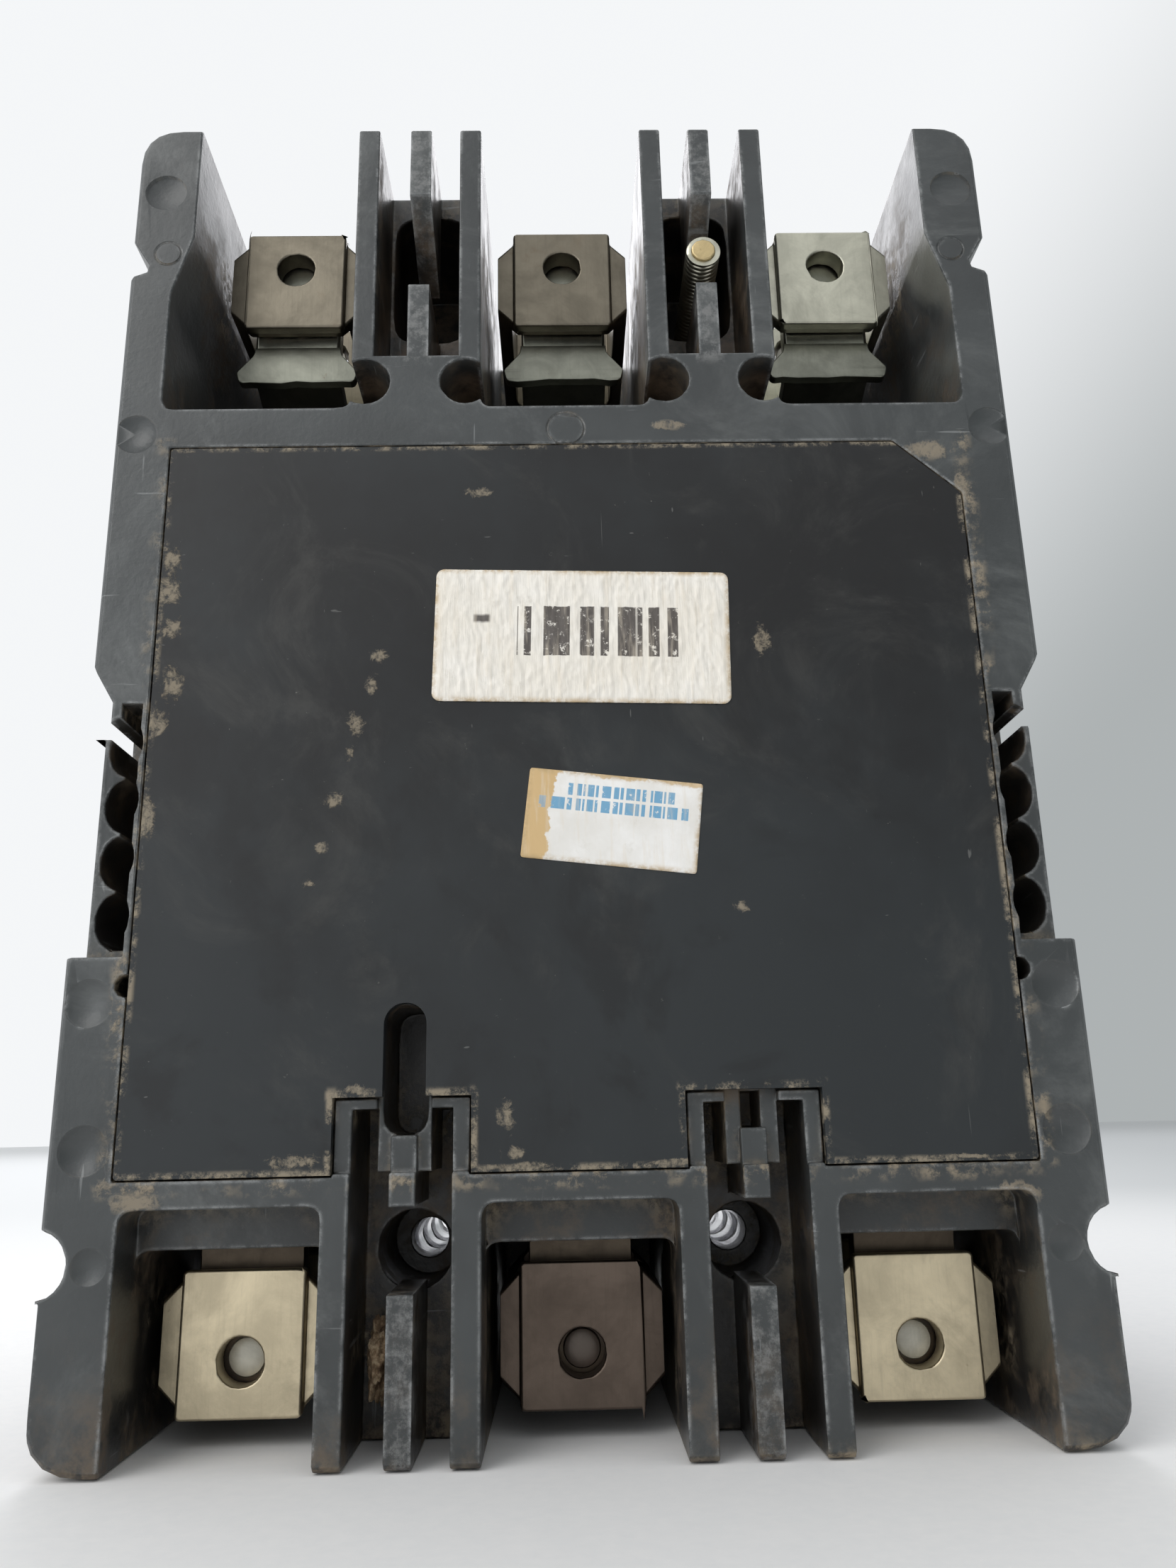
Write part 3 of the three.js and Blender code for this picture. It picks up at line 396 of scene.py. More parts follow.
def settled_dust(look, ragged, drifts):
    """Where dust lies on the back: along the seam of the back plate and in caked patches."""
    (x, depth), z = look.across_and_in(), look.along("Z")
    sides = look.times(look.band(x, SEAM_X, 0.3, 1.3), look.band(z, -9.6, 41, 1))
    foot = look.times(look.band(z, SEAM_Z, 0.3, 1.2), look.band(x, 22, 25, 1))
    on_back = look.mask(depth, 1.0, 0.3)
    seam = look.times(look.highest(sides, foot), on_back, look.mask(ragged, 0.46, 0.62), drifts, 0.8)
    caked = look.patches(HOUSING_DUST, look.times(ragged, 2.6))
    caked = look.times(caked, look.mask(depth, 3.0, 1.5), look.mask(ragged, 0.30, 0.50), 0.62)
    return look.highest(seam, caked)


def beside_the_fins(look, body):
    """Brown stains in the channels at the line end, and pale scuffs on the middle fins."""
    (x, depth), z = look.across_and_in(), look.along("Z")
    between = look.band(x, BETWEEN_POLES, 7.2, 0.8)
    channel = look.times(between, look.mask(z, 36, 38), look.mask(z, 68, 52), look.band(depth, 14, 9, 3))
    stain = look.times(channel, look.mask(look.noise(150, detail=6, roughness=0.7), 0.38, 0.60), 0.75)
    body = look.mix(stain, body, (0.15, 0.105, 0.07))
    ends = look.highest(look.mask(z, 41, 43), look.mask(z, -60, -62))
    fins = look.times(look.band(x, BETWEEN_POLES, 1.6, 0.3), ends, look.mask(depth, 14, 3))
    scuffs = look.times(fins, look.mask(look.noise(420, detail=8, roughness=0.8), 0.44, 0.62), 0.55)
    return look.mix(scuffs, body, (0.24, 0.24, 0.235))


def rubbed(look, body, near):
    """Pale chips along open edges and fine scratches. Gives the colour and where the chips are."""
    broken = look.mask(look.noise(150, detail=8, roughness=0.85), 0.44, 0.60)
    chips = look.times(look.mask(look.edges(0.8), 0.01, 0.12), look.mask(near, 0.45, 0.8), broken, 0.8)
    body = look.mix(chips, body, (0.38, 0.39, 0.39))
    for scale, turn in (((900, 60, 60), 38), ((60, 60, 800), 16)):
        lines = look.noise(1, detail=3, place=look.stretched(scale, (0, turn, 0)))
        body = look.mix(look.mask(lines, 0.69, 0.735, top=0.4), body, (0.27, 0.28, 0.28))
    return body, chips


# Patches of dried dust: (x, z, half width, half height) each.
HOUSING_DUST = [
    (-42.6, 29.6, 3.4, 1.6),
    (-45.8, 24.5, 1.2, 3.0),
    (43.5, -52.0, 3.2, 1.3),
    (-43.0, -53.0, 3.4, 1.4),
    (5.4, -53.4, 1.6, 0.9),
    (-12, 33.2, 3, 0.8),
]
PLATE_DUST = [
    (21.2, 4.6, 1.6, 1.1),
    (21.8, 1.2, 0.9, 1.6),
    (23.4, -3.2, 1.4, 2.0),
    (24.0, -6.4, 0.8, 1.0),
    (25.4, -11.8, 1.5, 1.4),
    (26.6, -17.0, 1.0, 0.8),
    (27.8, -20.8, 0.9, 0.7),
    (44.6, 16.5, 1.6, 2.2),
    (44.9, 12.6, 2.4, 2.6),
    (44.2, 8.2, 1.9, 2.0),
    (43.6, 1.8, 1.7, 2.8),
    (44.9, -2.6, 1.6, 2.4),
    (45.2, -13.0, 1.3, 3.4),
    (7.2, -44.6, 1.3, 2.4),
    (6.6, -48.2, 1.5, 1.2),
    (28.0, -48.6, 3.4, 1.0),
    (22.4, -41.8, 1.6, 0.8),
    (-10.0, -49.4, 6.0, 0.5),
    (6.0, -49.5, 5.0, 0.6),
    (-38.0, -49.5, 9.0, 0.35),
    (10.0, 24.6, 2.2, 0.8),
    (-21.4, 6.0, 1.4, 2.2),
    (-17.5, -24.0, 1.2, 0.8),
]


# Sets of scratches: how the pattern is stretched, its turn in degrees, and how rare they are.
SHEET_SCRATCHES = [
    ((900, 60, 220), 22, 0.735),
    ((300, 60, 1000), -31, 0.74),
    ((1500, 60, 40), 9, 0.745),
]


def insulating_sheet():
    """Smooth near-black fibre sheet with smudges, flecks, fine scratches and patches of tan dust."""
    look = Look("insulating_sheet")
    z = look.along("Z")
    tone = look.math("ADD", look.noise(22, detail=5), look.times(look.mask(z, 5, -45), 0.16))
    body = look.mix(look.mask(tone, 0.36, 0.74), (0.0095, 0.0095, 0.010), (0.021, 0.0245, 0.0265))
    smudge = look.mask(look.noise(52, detail=7, roughness=0.72, distortion=1.2), 0.48, 0.76, top=0.5)
    body = look.mix(smudge, body, (0.058, 0.057, 0.053))
    greasy = look.mask(look.noise(34, detail=6, roughness=0.6, distortion=2.0), 0.52, 0.66, top=0.5)
    body = look.mix(greasy, body, (0.009, 0.009, 0.0095))
    specks = look.mask(look.noise(760, detail=6, roughness=0.88), 0.645, 0.70, top=0.7)
    body = look.mix(specks, body, (0.24, 0.23, 0.205))
    marks = []
    for scale, turn, level in SHEET_SCRATCHES:
        lines = look.noise(1, detail=2, place=look.stretched(scale, (0, turn, 0)))
        marks.append(look.mask(lines, level, level + 0.03, top=0.34))
    scratches = look.highest(*marks)
    body = look.mix(scratches, body, (0.23, 0.23, 0.22))

    ragged = look.noise(640, detail=7, roughness=0.78, distortion=0.5)
    fine = look.mask(look.noise(1100, detail=5, roughness=0.7), 0.32, 0.56)
    dried = look.times(look.patches(PLATE_DUST, look.times(ragged, 2.9)), fine, 0.62)
    side = look.math("ABSOLUTE", look.along("X"))
    inner = look.band(side, NOTCH_INNER - 0.14, 0.25, 0.5)
    outer = look.band(side, NOTCH_OUTER + 0.14, 0.25, 0.5)
    above = look.band(z, NOTCH_TOP + 0.24, 0.2, 0.6)
    at_notch = look.times(look.mask(z, -41.3, -42.2), look.band(side, 17.6, 7.4, 0.5))
    notch = look.times(look.highest(inner, outer, above), at_notch)
    border = look.highest(look.mask(z, -49.1, -49.7), look.mask(side, 44.9, 45.5), look.mask(z, 30.0, 30.5))
    broken = look.mask(look.noise(230, detail=6, roughness=0.8), 0.46, 0.60)
    rim = look.times(look.highest(notch, border), broken, 0.7)
    dust = look.highest(dried, rim)
    body = look.mix(dust, body, (0.34, 0.285, 0.205))
    look.set(**{"Base Color": body})
    gloss = look.scaled(look.noise(40, detail=6, distortion=0.6), 0.30, 0.50)
    look.set(Roughness=look.math("ADD", gloss, look.times(dust, 0.45)))
    look.set(**{"Specular IOR Level": 0.36})
    look.bump(
        (look.noise(900, detail=3), 0.012),
        (scratches, -0.01),
        (look.noise(22, detail=2), 0.16),
        (dust, 0.06),
    )
    return look.material


class Label(Look):
    """Off-white label stock on one label: u runs to the left and v up, in millimetres from its middle."""

    def __init__(self, name):
        super().__init__(f"{name}_paper")
        label = LABELS[name]
        x, z = label["centre"]
        tilt = Matrix.Rotation(math.radians(-label["tilt"]), 4, "Y")
        corner = tilt.inverted() @ Vector((-x * MM, 0, -z * MM))
        inputs = {"Vector": self.place, "Location": corner, "Rotation": (0, math.radians(label["tilt"]), 0)}
        self.local = self.add("ShaderNodeMapping", inputs).outputs["Vector"]
        self.u = self.along("X", self.local)
        self.v = self.along("Z", self.local)
        self.half_u, self.half_v = label["size"][0] / 2, label["size"][1] / 2
        self.wrinkle_depth = label["creases"] * 0.6

    def inside(self, u, v, half_u, half_v, soft=0.08):
        return self.times(self.band(self.u, u, half_u, soft), self.band(self.v, v, half_v, soft))

    def bars(self, scale, level):
        """Upright strokes of uneven width, printed with gaps, which read as no letters or digits."""
        strokes = self.noise(1, detail=1, place=self.vector("MULTIPLY", self.local, (scale, 0, 0)))
        worn = self.mask(self.noise(900, detail=5, roughness=0.8), 0.36, 0.44)
        return self.times(self.mask(strokes, level, level + 0.02), worn)

    def finish(self, body):
        wrinkles = self.noise(1, detail=4, place=self.stretched((1300, 60, 130)))
        # Painted shade: a darker tan along the wrinkles.
        wrinkle_shade = self.mask(wrinkles, 0.50, 0.68, top=0.34)
        body = self.mix(wrinkle_shade, body, (0.70, 0.62, 0.50))
        grime = self.mask(self.noise(240, detail=6, roughness=0.75), 0.56, 0.74, top=0.35)
        body = self.mix(grime, body, (0.50, 0.46, 0.38))
        side = self.math("SUBTRACT", self.half_u, self.math("ABSOLUTE", self.u))
        end = self.math("SUBTRACT", self.half_v, self.math("ABSOLUTE", self.v))
        border = self.mask(self.math("MINIMUM", side, end), 0.75, 0.0)
        frayed = self.mask(self.noise(330, detail=6, roughness=0.8), 0.38, 0.60)
        body = self.mix(self.times(border, frayed, 0.85), body, (0.46, 0.33, 0.17))
        self.set(**{"Base Color": body, "Specular IOR Level": 0.35})
        self.set(Roughness=self.scaled(self.noise(300), 0.5, 0.75))
        self.bump((self.noise(2600, detail=4), 0.015), (wrinkles, self.wrinkle_depth))
        return self.material


def large_label_paper():
    look = Label("label_large")
    body = look.mix(look.mask(look.noise(90, detail=5), 0.35, 0.7), (0.78, 0.735, 0.655), (0.84, 0.81, 0.755))
    ink = look.times(look.inside(-2.3, 0.5, 9.5, 2.9), look.bars(470, 0.475))
    dash = look.times(look.inside(11.2, 1.9, 0.7, 0.25, 0.4), 0.9)
    body = look.mix(look.highest(look.times(ink, 0.92), dash), body, (0.045, 0.035, 0.032))
    return look.finish(body)


def small_label_paper():
    """Its end at +X has lost its white face, which leaves a tan strip with a ragged border."""
    look = Label("label_small")
    body = look.mix(look.mask(look.noise(160, detail=5), 0.35, 0.7), (0.74, 0.72, 0.68), (0.84, 0.83, 0.81))
    rows = look.highest(look.inside(-0.6, 3.0, 5.8, 0.62), look.inside(-0.2, 1.35, 8.2, 0.62))
    ink = look.times(rows, look.bars(1500, 0.46), 0.85)
    body = look.mix(ink, body, (0.06, 0.29, 0.50))
    wander = look.scaled(look.noise(260, detail=5, roughness=0.65), -1.6, 1.6)
    torn = look.math("ADD", look.math("ADD", look.u, wander), look.times(look.v, 0.10))
    top_edge = look.mask(look.math("ADD", look.v, wander), 4.6, 4.8, top=0.8)
    bare = look.highest(look.mask(torn, 6.6, 6.75), top_edge)
    unprinted = look.math("SUBTRACT", 1.0, look.times(ink, 0.8))
    body = look.mix(look.times(bare, unprinted), body, (0.60, 0.42, 0.21))
    return look.finish(body)


def printed_plate():
    """The rating label: a printed panel with plain rules and blocks and no writing."""
    look = Look("rating_print")
    x, z = look.along("X"), look.along("Z")
    body = look.mix(look.mask(look.noise(120, detail=5), 0.35, 0.7), (0.60, 0.60, 0.58), (0.70, 0.70, 0.68))
    low, high = (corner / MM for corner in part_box("rating_label"))
    middle = (low.x + high.x) / 2
    rows = look.mask(look.math("PINGPONG", z, 1.5), 0.95, 1.1)
    words = look.mask(look.noise(1, detail=1, place=look.stretched((900, 0, 300))), 0.44, 0.47)
    block = look.times(look.band(x, middle, 8.2, 0.05), look.band(z, (low.z + high.z) / 2, 26, 0.05))
    print_ = look.times(rows, words, block, 0.85)
    body = look.mix(print_, body, (0.03, 0.03, 0.035))
    header = look.times(look.band(z, high.z - 4, 2.2, 0.05), look.band(x, middle, 9, 0.05))
    body = look.mix(header, body, (0.035, 0.05, 0.07))
    grime = look.mask(look.noise(240, detail=6, roughness=0.75), 0.56, 0.72, top=0.4)
    body = look.mix(grime, body, (0.40, 0.37, 0.31))
    look.set(**{"Base Color": body})
    look.set(Roughness=look.scaled(look.noise(300), 0.3, 0.5))
    look.bump((look.noise(1800, detail=4), 0.008))
    return look.material


def plated_metal(name, colour, stain=BROWN_STAIN, rough=(0.24, 0.46), stained=0.5, metal=1.0, corners=0.7):
    """Plated steel: fine rolling lines, cloudy patches, stains from the edges inwards, and painted shade in
    the corners.
    """
    look = Look(name)
    clouds = look.noise(150, detail=6, roughness=0.65, distortion=0.4)
    body = look.mix(look.mask(clouds, 0.32, 0.7), tinted(colour, 0.74), tinted(colour, 1.06))
    lines = look.noise(1, detail=4, place=look.stretched((2600, 2600, 150)))
    body = look.mix(look.mask(lines, 0.5, 0.75, top=0.30), body, tinted(colour, 0.62))
    near = look.openness(2.4)
    patch = look.mask(look.noise(230, detail=6, roughness=0.7, distortion=0.5), 0.50, 0.68)
    edge = look.highest(look.mask(near, 0.75, 0.35), look.mask(look.noise(75, detail=5), 0.56, 0.72))
    dirt = look.times(patch, edge, stained)
    body = look.mix(dirt, body, stain)
    blots = look.mask(look.noise(62, detail=7, roughness=0.7, distortion=1.6), 0.50, 0.66, top=0.35)
    body = look.mix(blots, body, tinted(colour, 0.45))
    flecks = look.mask(look.noise(700, detail=5, roughness=0.8), 0.64, 0.72, top=0.6 * stained)
    body = look.mix(flecks, body, stain)
    # Painted shade: corners and narrow places darkened to a deep tint of the stain colour, as far as corners
    # allows.
    body = look.mix(look.mask(near, 0.60, 0.2, top=corners), body, tinted(stain, 0.45))
    look.set(**{"Base Color": body})
    look.set(Metallic=look.scaled(dirt, metal, 0.35 * metal))
    gloss = look.scaled(look.noise(420, detail=5), *rough)
    look.set(Roughness=look.math("ADD", gloss, look.times(dirt, 0.35)))
    look.bump((look.noise(700, detail=5), 0.02), (lines, 0.006), (look.noise(130, detail=2), 0.05))
    return look.material


def moulded(name, colour, rough=(0.3, 0.45)):
    """Plain moulded plastic with a fine texture."""
    look = Look(name)
    mottle = look.mask(look.noise(120, detail=5), 0.35, 0.7)
    body = look.mix(mottle, tinted(colour, 0.85), tinted(colour, 1.15))
    uneven = look.mask(look.noise(500, detail=4), 0.45, 0.62)
    rub = look.times(look.mask(look.edges(0.4), 0.03, 0.25), uneven, 0.5)
    body = look.mix(rub, body, tuple(min(part * 3 + 0.05, 1) for part in colour))
    drifts = look.mask(look.noise(300, detail=5), 0.42, 0.6)
    dust = look.times(look.mask(look.openness(2.5), 0.7, 0.3), drifts, 0.6)
    body = look.mix(dust, body, (0.24, 0.20, 0.15))
    look.set(**{"Base Color": body})
    look.set(Roughness=look.scaled(look.noise(220, detail=4), *rough))
    look.bump((look.noise(1800, detail=3), 0.02))
    return look.material


def fibre_board():
    look = Look("chute_fibre")
    body = look.mix(look.noise(300, detail=6), (0.20, 0.10, 0.055), (0.36, 0.19, 0.10))
    # Painted shade: near-black in corners and narrow places.
    body = look.mix(look.times(look.mask(look.openness(4), 0.8, 0.3), 0.7), body, (0.03, 0.025, 0.02))
    look.set(**{"Base Color": body})
    look.set(Roughness=look.scaled(look.noise(500), 0.6, 0.85))
    look.bump((look.noise(1200, detail=5), 0.04))
    return look.material


def caked_dirt():
    look = Look("caked_dirt")
    body = look.ramp(
        look.noise(900, detail=7, roughness=0.75),
        (0.36, (0.075, 0.045, 0.028)),
        (0.50, (0.24, 0.165, 0.10)),
        (0.64, (0.50, 0.40, 0.27)),
    )
    look.set(**{"Base Color": body, "Roughness": 0.9, "Specular IOR Level": 0.2})
    look.bump((look.noise(2600, detail=5), 0.12))
    return look.material


def make_materials():
    """Materials by the name of the record's slot, and some more for pieces that look different."""
    return {
        "housing": thermoset("moulded_housing", (0.041, 0.0455, 0.0465)),
        "back_plate": insulating_sheet(),
        "plated_steel": plated_metal("plated_steel", (0.66, 0.57, 0.40), stained=0.6, corners=0.35),
        "dull_steel": plated_metal("dull_steel", (0.20, 0.178, 0.138)),
        "pale_steel": plated_metal("pale_steel", (0.58, 0.57, 0.47), stained=0.4),
        "dark_steel": plated_metal("tarnished_steel", (0.26, 0.235, 0.20), (0.06, 0.045, 0.035)),
        "bronzed_steel": plated_metal(
            "bronzed_steel", (0.135, 0.105, 0.085), (0.05, 0.032, 0.025), corners=0.35
        ),
        "screw_end": plated_metal(
            "screw_end", (0.60, 0.58, 0.50), rough=(0.35, 0.5), stained=0.2, metal=0.3, corners=0.0
        ),
        "dull_screw_end": plated_metal(
            "dull_screw_end", (0.13, 0.105, 0.088), stained=0.2, metal=0.5, corners=0.0
        ),
        "sleeve_plating": plated_metal(
            "sleeve_plating", (0.66, 0.66, 0.69), rough=(0.12, 0.24), stained=0.2, corners=0.0
        ),
        "zinc": plated_metal("zinc", (0.27, 0.275, 0.23), stained=0.7),
        "soiled_zinc": plated_metal("soiled_zinc", (0.10, 0.08, 0.06), (0.04, 0.027, 0.02), stained=0.85),
        "brass": plated_metal("yellow_plating", (0.66, 0.52, 0.28), (0.20, 0.12, 0.05)),
        "copper": plated_metal("copper", (0.72, 0.40, 0.27), (0.10, 0.05, 0.03)),
        "black_plastic": moulded("black_moulding", (0.016, 0.017, 0.018)),
        "red_plastic": moulded("red_moulding", (0.42, 0.025, 0.018), rough=(0.2, 0.35)),
        "chute_fibre": fibre_board(),
        "label_paper": printed_plate(),
        "dirt": caked_dirt(),
    }


# Finishes of the lugs and the straps at each end, and the two lugs that differ.
END_FINISH = {"line": ("dull_steel", "zinc"), "load": ("plated_steel", "soiled_zinc")}
LUG_FINISH = {("line", "left"): "pale_steel", ("load", "centre"): "bronzed_steel"}


# ---------------------------------------------------------------- shape helpers


def add_piece(name, mesh, material, body, slot, *replaced):
    """A piece of the visual model, in place of the CAD nodes that it replaces."""
    piece = linked(name, mesh)
    mesh.materials.clear()
    mesh.materials.append(material)
    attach(piece, body)
    if replaced:
        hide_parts(*replaced)


def modified(mesh, *modifiers):
    """A mesh with modifiers applied, each given as (type, settings)."""
    holder = linked("holder", mesh)
    for kind, settings in modifiers:
        modifier = holder.modifiers.new(kind.lower(), kind)
        for name, value in settings.items():
            setattr(modifier, name, value)
    bpy.context.view_layer.update()
    evaluated = holder.evaluated_get(bpy.context.evaluated_depsgraph_get())
    result = bpy.data.meshes.new_from_object(evaluated)
    bpy.data.objects.remove(holder)
    return result


def smooth(mesh):
    mesh.polygons.foreach_set("use_smooth", [True] * len(mesh.polygons))
    return mesh


def shade(mesh, angle=38):
    """Smooth, with the edges that turn by more than the angle in degrees kept sharp."""
    smooth(mesh).set_sharp_from_angle(angle=math.radians(angle))
    return modified(mesh, ("WEIGHTED_NORMAL", {"keep_sharp": True, "weight": 80}))


def edit(mesh, change):
    """Runs change on the mesh as a bmesh."""
    shape = bmesh.new()
    shape.from_mesh(mesh)
    change(shape)
    shape.normal_update()
    shape.to_mesh(mesh)
    shape.free()
    return mesh


def baked(name, shape):
    """A mesh from a bmesh, which is freed."""
    mesh = bpy.data.meshes.new(name)
    shape.to_mesh(mesh)
    shape.free()
    return mesh


def joined_up(shape):
    """Merges the corners of loose faces and lays the triangles of each flat out evenly."""
    bmesh.ops.remove_doubles(shape, verts=shape.verts, dist=0.002 * MM)
    for _ in range(3):
        flat = [edge for edge in shape.edges if edge.calc_face_angle(math.pi) < math.radians(0.6)]
        bmesh.ops.beautify_fill(shape, faces=shape.faces[:], edges=flat, method="ANGLE")


def unfolded(shape):
    """Swaps the long side of each thin triangle that the rounding has turned over."""
    bmesh.ops.triangulate(shape, faces=shape.faces[:])
    for _ in range(6):
        shape.normal_update()
        folds = [edge for edge in shape.edges if edge.calc_face_angle(0) > math.radians(140)]
        folds.sort(key=lambda edge: -edge.calc_length())
        touched = set()
        for edge in folds:
            if not edge.is_valid or touched.intersection(edge.link_faces):
                continue
            across = [corner for face in edge.link_faces for corner in face.verts if corner not in edge.verts]
            swapped = None if shape.edges.get(across) else bmesh.utils.edge_rotate(edge, True)
            if swapped:
                touched.update(swapped.link_faces)


def rounded(mesh, width, segments, angle=34):
    settings = {
        "width": width * MM,
        "offset_type": "WIDTH",
        "segments": segments,
        "limit_method": "ANGLE",
        "angle_limit": math.radians(angle),
        "use_clamp_overlap": False,
    }
    return edit(modified(mesh, ("BEVEL", settings)), unfolded)


def drawn(name, outline, back, front, edge):
    """A face-on shape from a closed outline of (x, z) between two depths, its edges rounded off."""
    curve = bpy.data.curves.new(name, "CURVE")
    curve.dimensions = "2D"
    curve.fill_mode = "BOTH"
    curve.extrude = ((front - back) / 2 - edge) * MM
    curve.bevel_depth = edge * MM
    curve.offset = -edge * MM
    curve.bevel_resolution = 2
    points = softened(outline)
    spline = curve.splines.new("POLY")
    spline.points.add(len(points) - 1)
    for point, (x, z) in zip(spline.points, points):
        point.co = (x * MM, z * MM, 0, 1)
    spline.use_cyclic_u = True
    mesh = filled(curve)
    turn = Matrix.Rotation(math.radians(90), 4, "X")
    mesh.transform(Matrix.Translation((0, -(back + front) / 2 * MM, 0)) @ turn)
    return mesh


def filled(curve):
    """The mesh of a curve."""
    holder = linked("holder", curve)
    bpy.context.view_layer.update()
    mesh = bpy.data.meshes.new_from_object(holder.evaluated_get(bpy.context.evaluated_depsgraph_get()))
    bpy.data.objects.remove(holder)
    return edit(mesh, closed_up)


def closed_up(shape):
    bmesh.ops.remove_doubles(shape, verts=shape.verts, dist=0.001 * MM)
    bmesh.ops.recalc_face_normals(shape, faces=shape.faces)


def softened(outline, steps=10):
    """Corners of (x, z) or (x, z, radius), with the ones that have a radius made round."""
    points = []
    for i, (x, z, *radius) in enumerate(outline):
        corner = Vector((x, z))
        if not radius:
            points.append(corner)
            continue
        before = (Vector(outline[i - 1][:2]) - corner).normalized()
        after = (Vector(outline[(i + 1) % len(outline)][:2]) - corner).normalized()
        half = before.angle(after) / 2
        centre = corner + (before + after).normalized() * (radius[0] / math.sin(half))
        start = corner + before * (radius[0] / math.tan(half)) - centre
        end = corner + after * (radius[0] / math.tan(half)) - centre
        turn = start.angle_signed(end)
        for k in range(steps + 1):
            points.append(centre + Matrix.Rotation(-turn * k / steps, 2) @ start)
    return [tuple(point) for point in points]


# The body and the material slot of each CAD node.
BODY = {node: body for body, nodes in frame["record"]["behaviour"]["bodies"].items() for node in nodes}
SLOT = {part["node"]: part["material_slot"] for part in frame["record"]["subparts"]}


def refine(node, width, materials, segments=2, marks=None, finish_of=None):
    """Replaces a CAD node by the same shape with rounded edges, less the marks pressed into it."""
    mesh = edit(frame["nodes"][node].data.copy(), joined_up)
    mesh = rounded(mesh, width, segments)
    if marks:
        mesh = modified(mesh, ("BOOLEAN", {"operation": "DIFFERENCE", "object": marks, "solver": "EXACT"}))
        bpy.data.objects.remove(marks)
    mesh = shade(mesh)
    material = materials[finish_of or SLOT[node]]
    add_piece(f"{node}_fine", mesh, material, BODY[node], SLOT[node], node)


# ---------------------------------------------------------------- marks and threads


# Round marks that the mould's ejector pins leave on the back: (x, z, radius, depth), on both sides.
# A depth of 0 gives a ring instead of a dish.
PIN_MARKS = [
    (48.9, 66.5, 2.45, 0.35),
    (50.0, 32.7, 2.4, 0.16),
    (0.0, 32.9, 2.3, 0.0),
    (49.6, -32.7, 2.4, 0.16),
    (48.9, -47.1, 2.4, 0.22),
    (48.0, 57.6, 1.7, 0.0),
    (47.4, -57.8, 1.7, 0.12),
]


def turned(profile, middle, steps=40):
    """A ring or solid turned about Y from a closed profile of (radius, y) round a point, in millimetres."""
    shape = bmesh.new()
    rings = []
    for k in range(steps):
        angle = 2 * math.pi * k / steps
        ring = []
        for radius, y in profile:
            place = Vector((radius * math.cos(angle), y, radius * math.sin(angle))) + Vector(middle)
            ring.append(shape.verts.new(place * MM))
        rings.append(ring)
    for k, ring in enumerate(rings):
        after = rings[(k + 1) % steps]
        for j in range(len(profile)):
            i = (j + 1) % len(profile)
            shape.faces.new((ring[j], ring[i], after[i], after[j]))
    bmesh.ops.recalc_face_normals(shape, faces=shape.faces)
    return baked("turned", shape)


def back_surface(target, x, z):
    """The y of the first surface met from behind, in millimetres."""
    return target.ray_cast(Vector((x * MM, 10 * MM, z * MM)), Vector((0, -1, 0)))[0].y / MM


def pin_mark_cutters(node):
    """Rings, and shallow dishes inside some of them, where each mark meets the node's back surface."""
    target = BVHTree.FromObject(frame["nodes"][node], bpy.context.evaluated_depsgraph_get())
    groove_depth, groove_width, flare, above = 0.16, 0.28, 0.12, 0.5
    cutters = bmesh.new()
    for side in (-1, 1):
        for x, z, radius, depth in PIN_MARKS:
            if x == 0 and side < 0:
                continue
            y = back_surface(target, side * x, z)
            inner = 0 if depth else radius - groove_width
            floor = y - (depth or groove_depth)
            rim = radius + flare
            profile = [(inner, y + above), (inner, floor), (radius, floor), (rim, y + 0.02), (rim, y + above)]
            cutters.from_mesh(edit(turned(profile, (side * x, 0, z)), closed_up))
    return linked("pin_marks", baked("pin_marks", cutters))


def threaded(x, z, depths, plain, root, crest, pitch, columns=36, rows_per_turn=8):
    """A sleeve with a screw thread on one wall and a plain wall at the radius plain, between two depths."""
    back, front = depths
    rows = round((front - back) / pitch * rows_per_turn)
    flank = 2.4
    shape = bmesh.new()
    thread, wall = [], []
    for j in range(rows + 1):
        depth = back + (front - back) * j / rows
        for ring, is_thread in ((thread, True), (wall, False)):
            row = []
            for i in range(columns):
                turn = i / columns
                phase = (depth / pitch - turn) % 1
                height = min(1.0, flank * (1 - abs(2 * phase - 1)))
                radius = root + (crest - root) * height if is_thread else plain
                angle = 2 * math.pi * turn
                place = Vector((x + radius * math.cos(angle), -depth, z + radius * math.sin(angle)))
                row.append(shape.verts.new(place * MM))
            ring.append(row)
    for rows_of in (thread, wall):
        for lower, upper in zip(rows_of, rows_of[1:]):
            for i in range(columns):
                k = (i + 1) % columns
                shape.faces.new((lower[i], lower[k], upper[k], upper[i]))
    for inner, outer in ((thread[0], wall[0]), (thread[-1], wall[-1])):
        for i in range(columns):
            k = (i + 1) % columns
            shape.faces.new((inner[i], inner[k], outer[k], outer[i]))
    bmesh.ops.recalc_face_normals(shape, faces=shape.faces)
    return shade(baked("thread", shape), 50)


def add_threads(materials):
    """The thread of the mounting screw, and a threaded sleeve in each open mounting hole at the load end."""
    low, high = (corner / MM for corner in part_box("mounting_screw"))
    x, z = (low.x + high.x) / 2, (low.z + high.z) / 2
    depths = (-high.y + 0.35, -low.y - 6)
    screw = threaded(x, z, depths, plain=1.5, root=1.97, crest=2.12, pitch=0.7)
    add_piece("mounting_screw_thread", screw, materials["pale_steel"], "housing", "brass")
    for name, side in SIDES.items():
        x = side * BETWEEN_POLES
        insert = threaded(x, -MOUNT_Z, (29, 58), plain=2.6, root=2.40, crest=1.95, pitch=9.5)
        add_piece(f"thread_insert_{name}", insert, materials["sleeve_plating"], "housing", "zinc")


# ---------------------------------------------------------------- strap ends, seals and dirt


# Depth of the flared end of a line strap, and its thickness.
STRAP_BACK, STRAP_TAIL = 13.1, 1.4
TAIL_TOP = 53.5

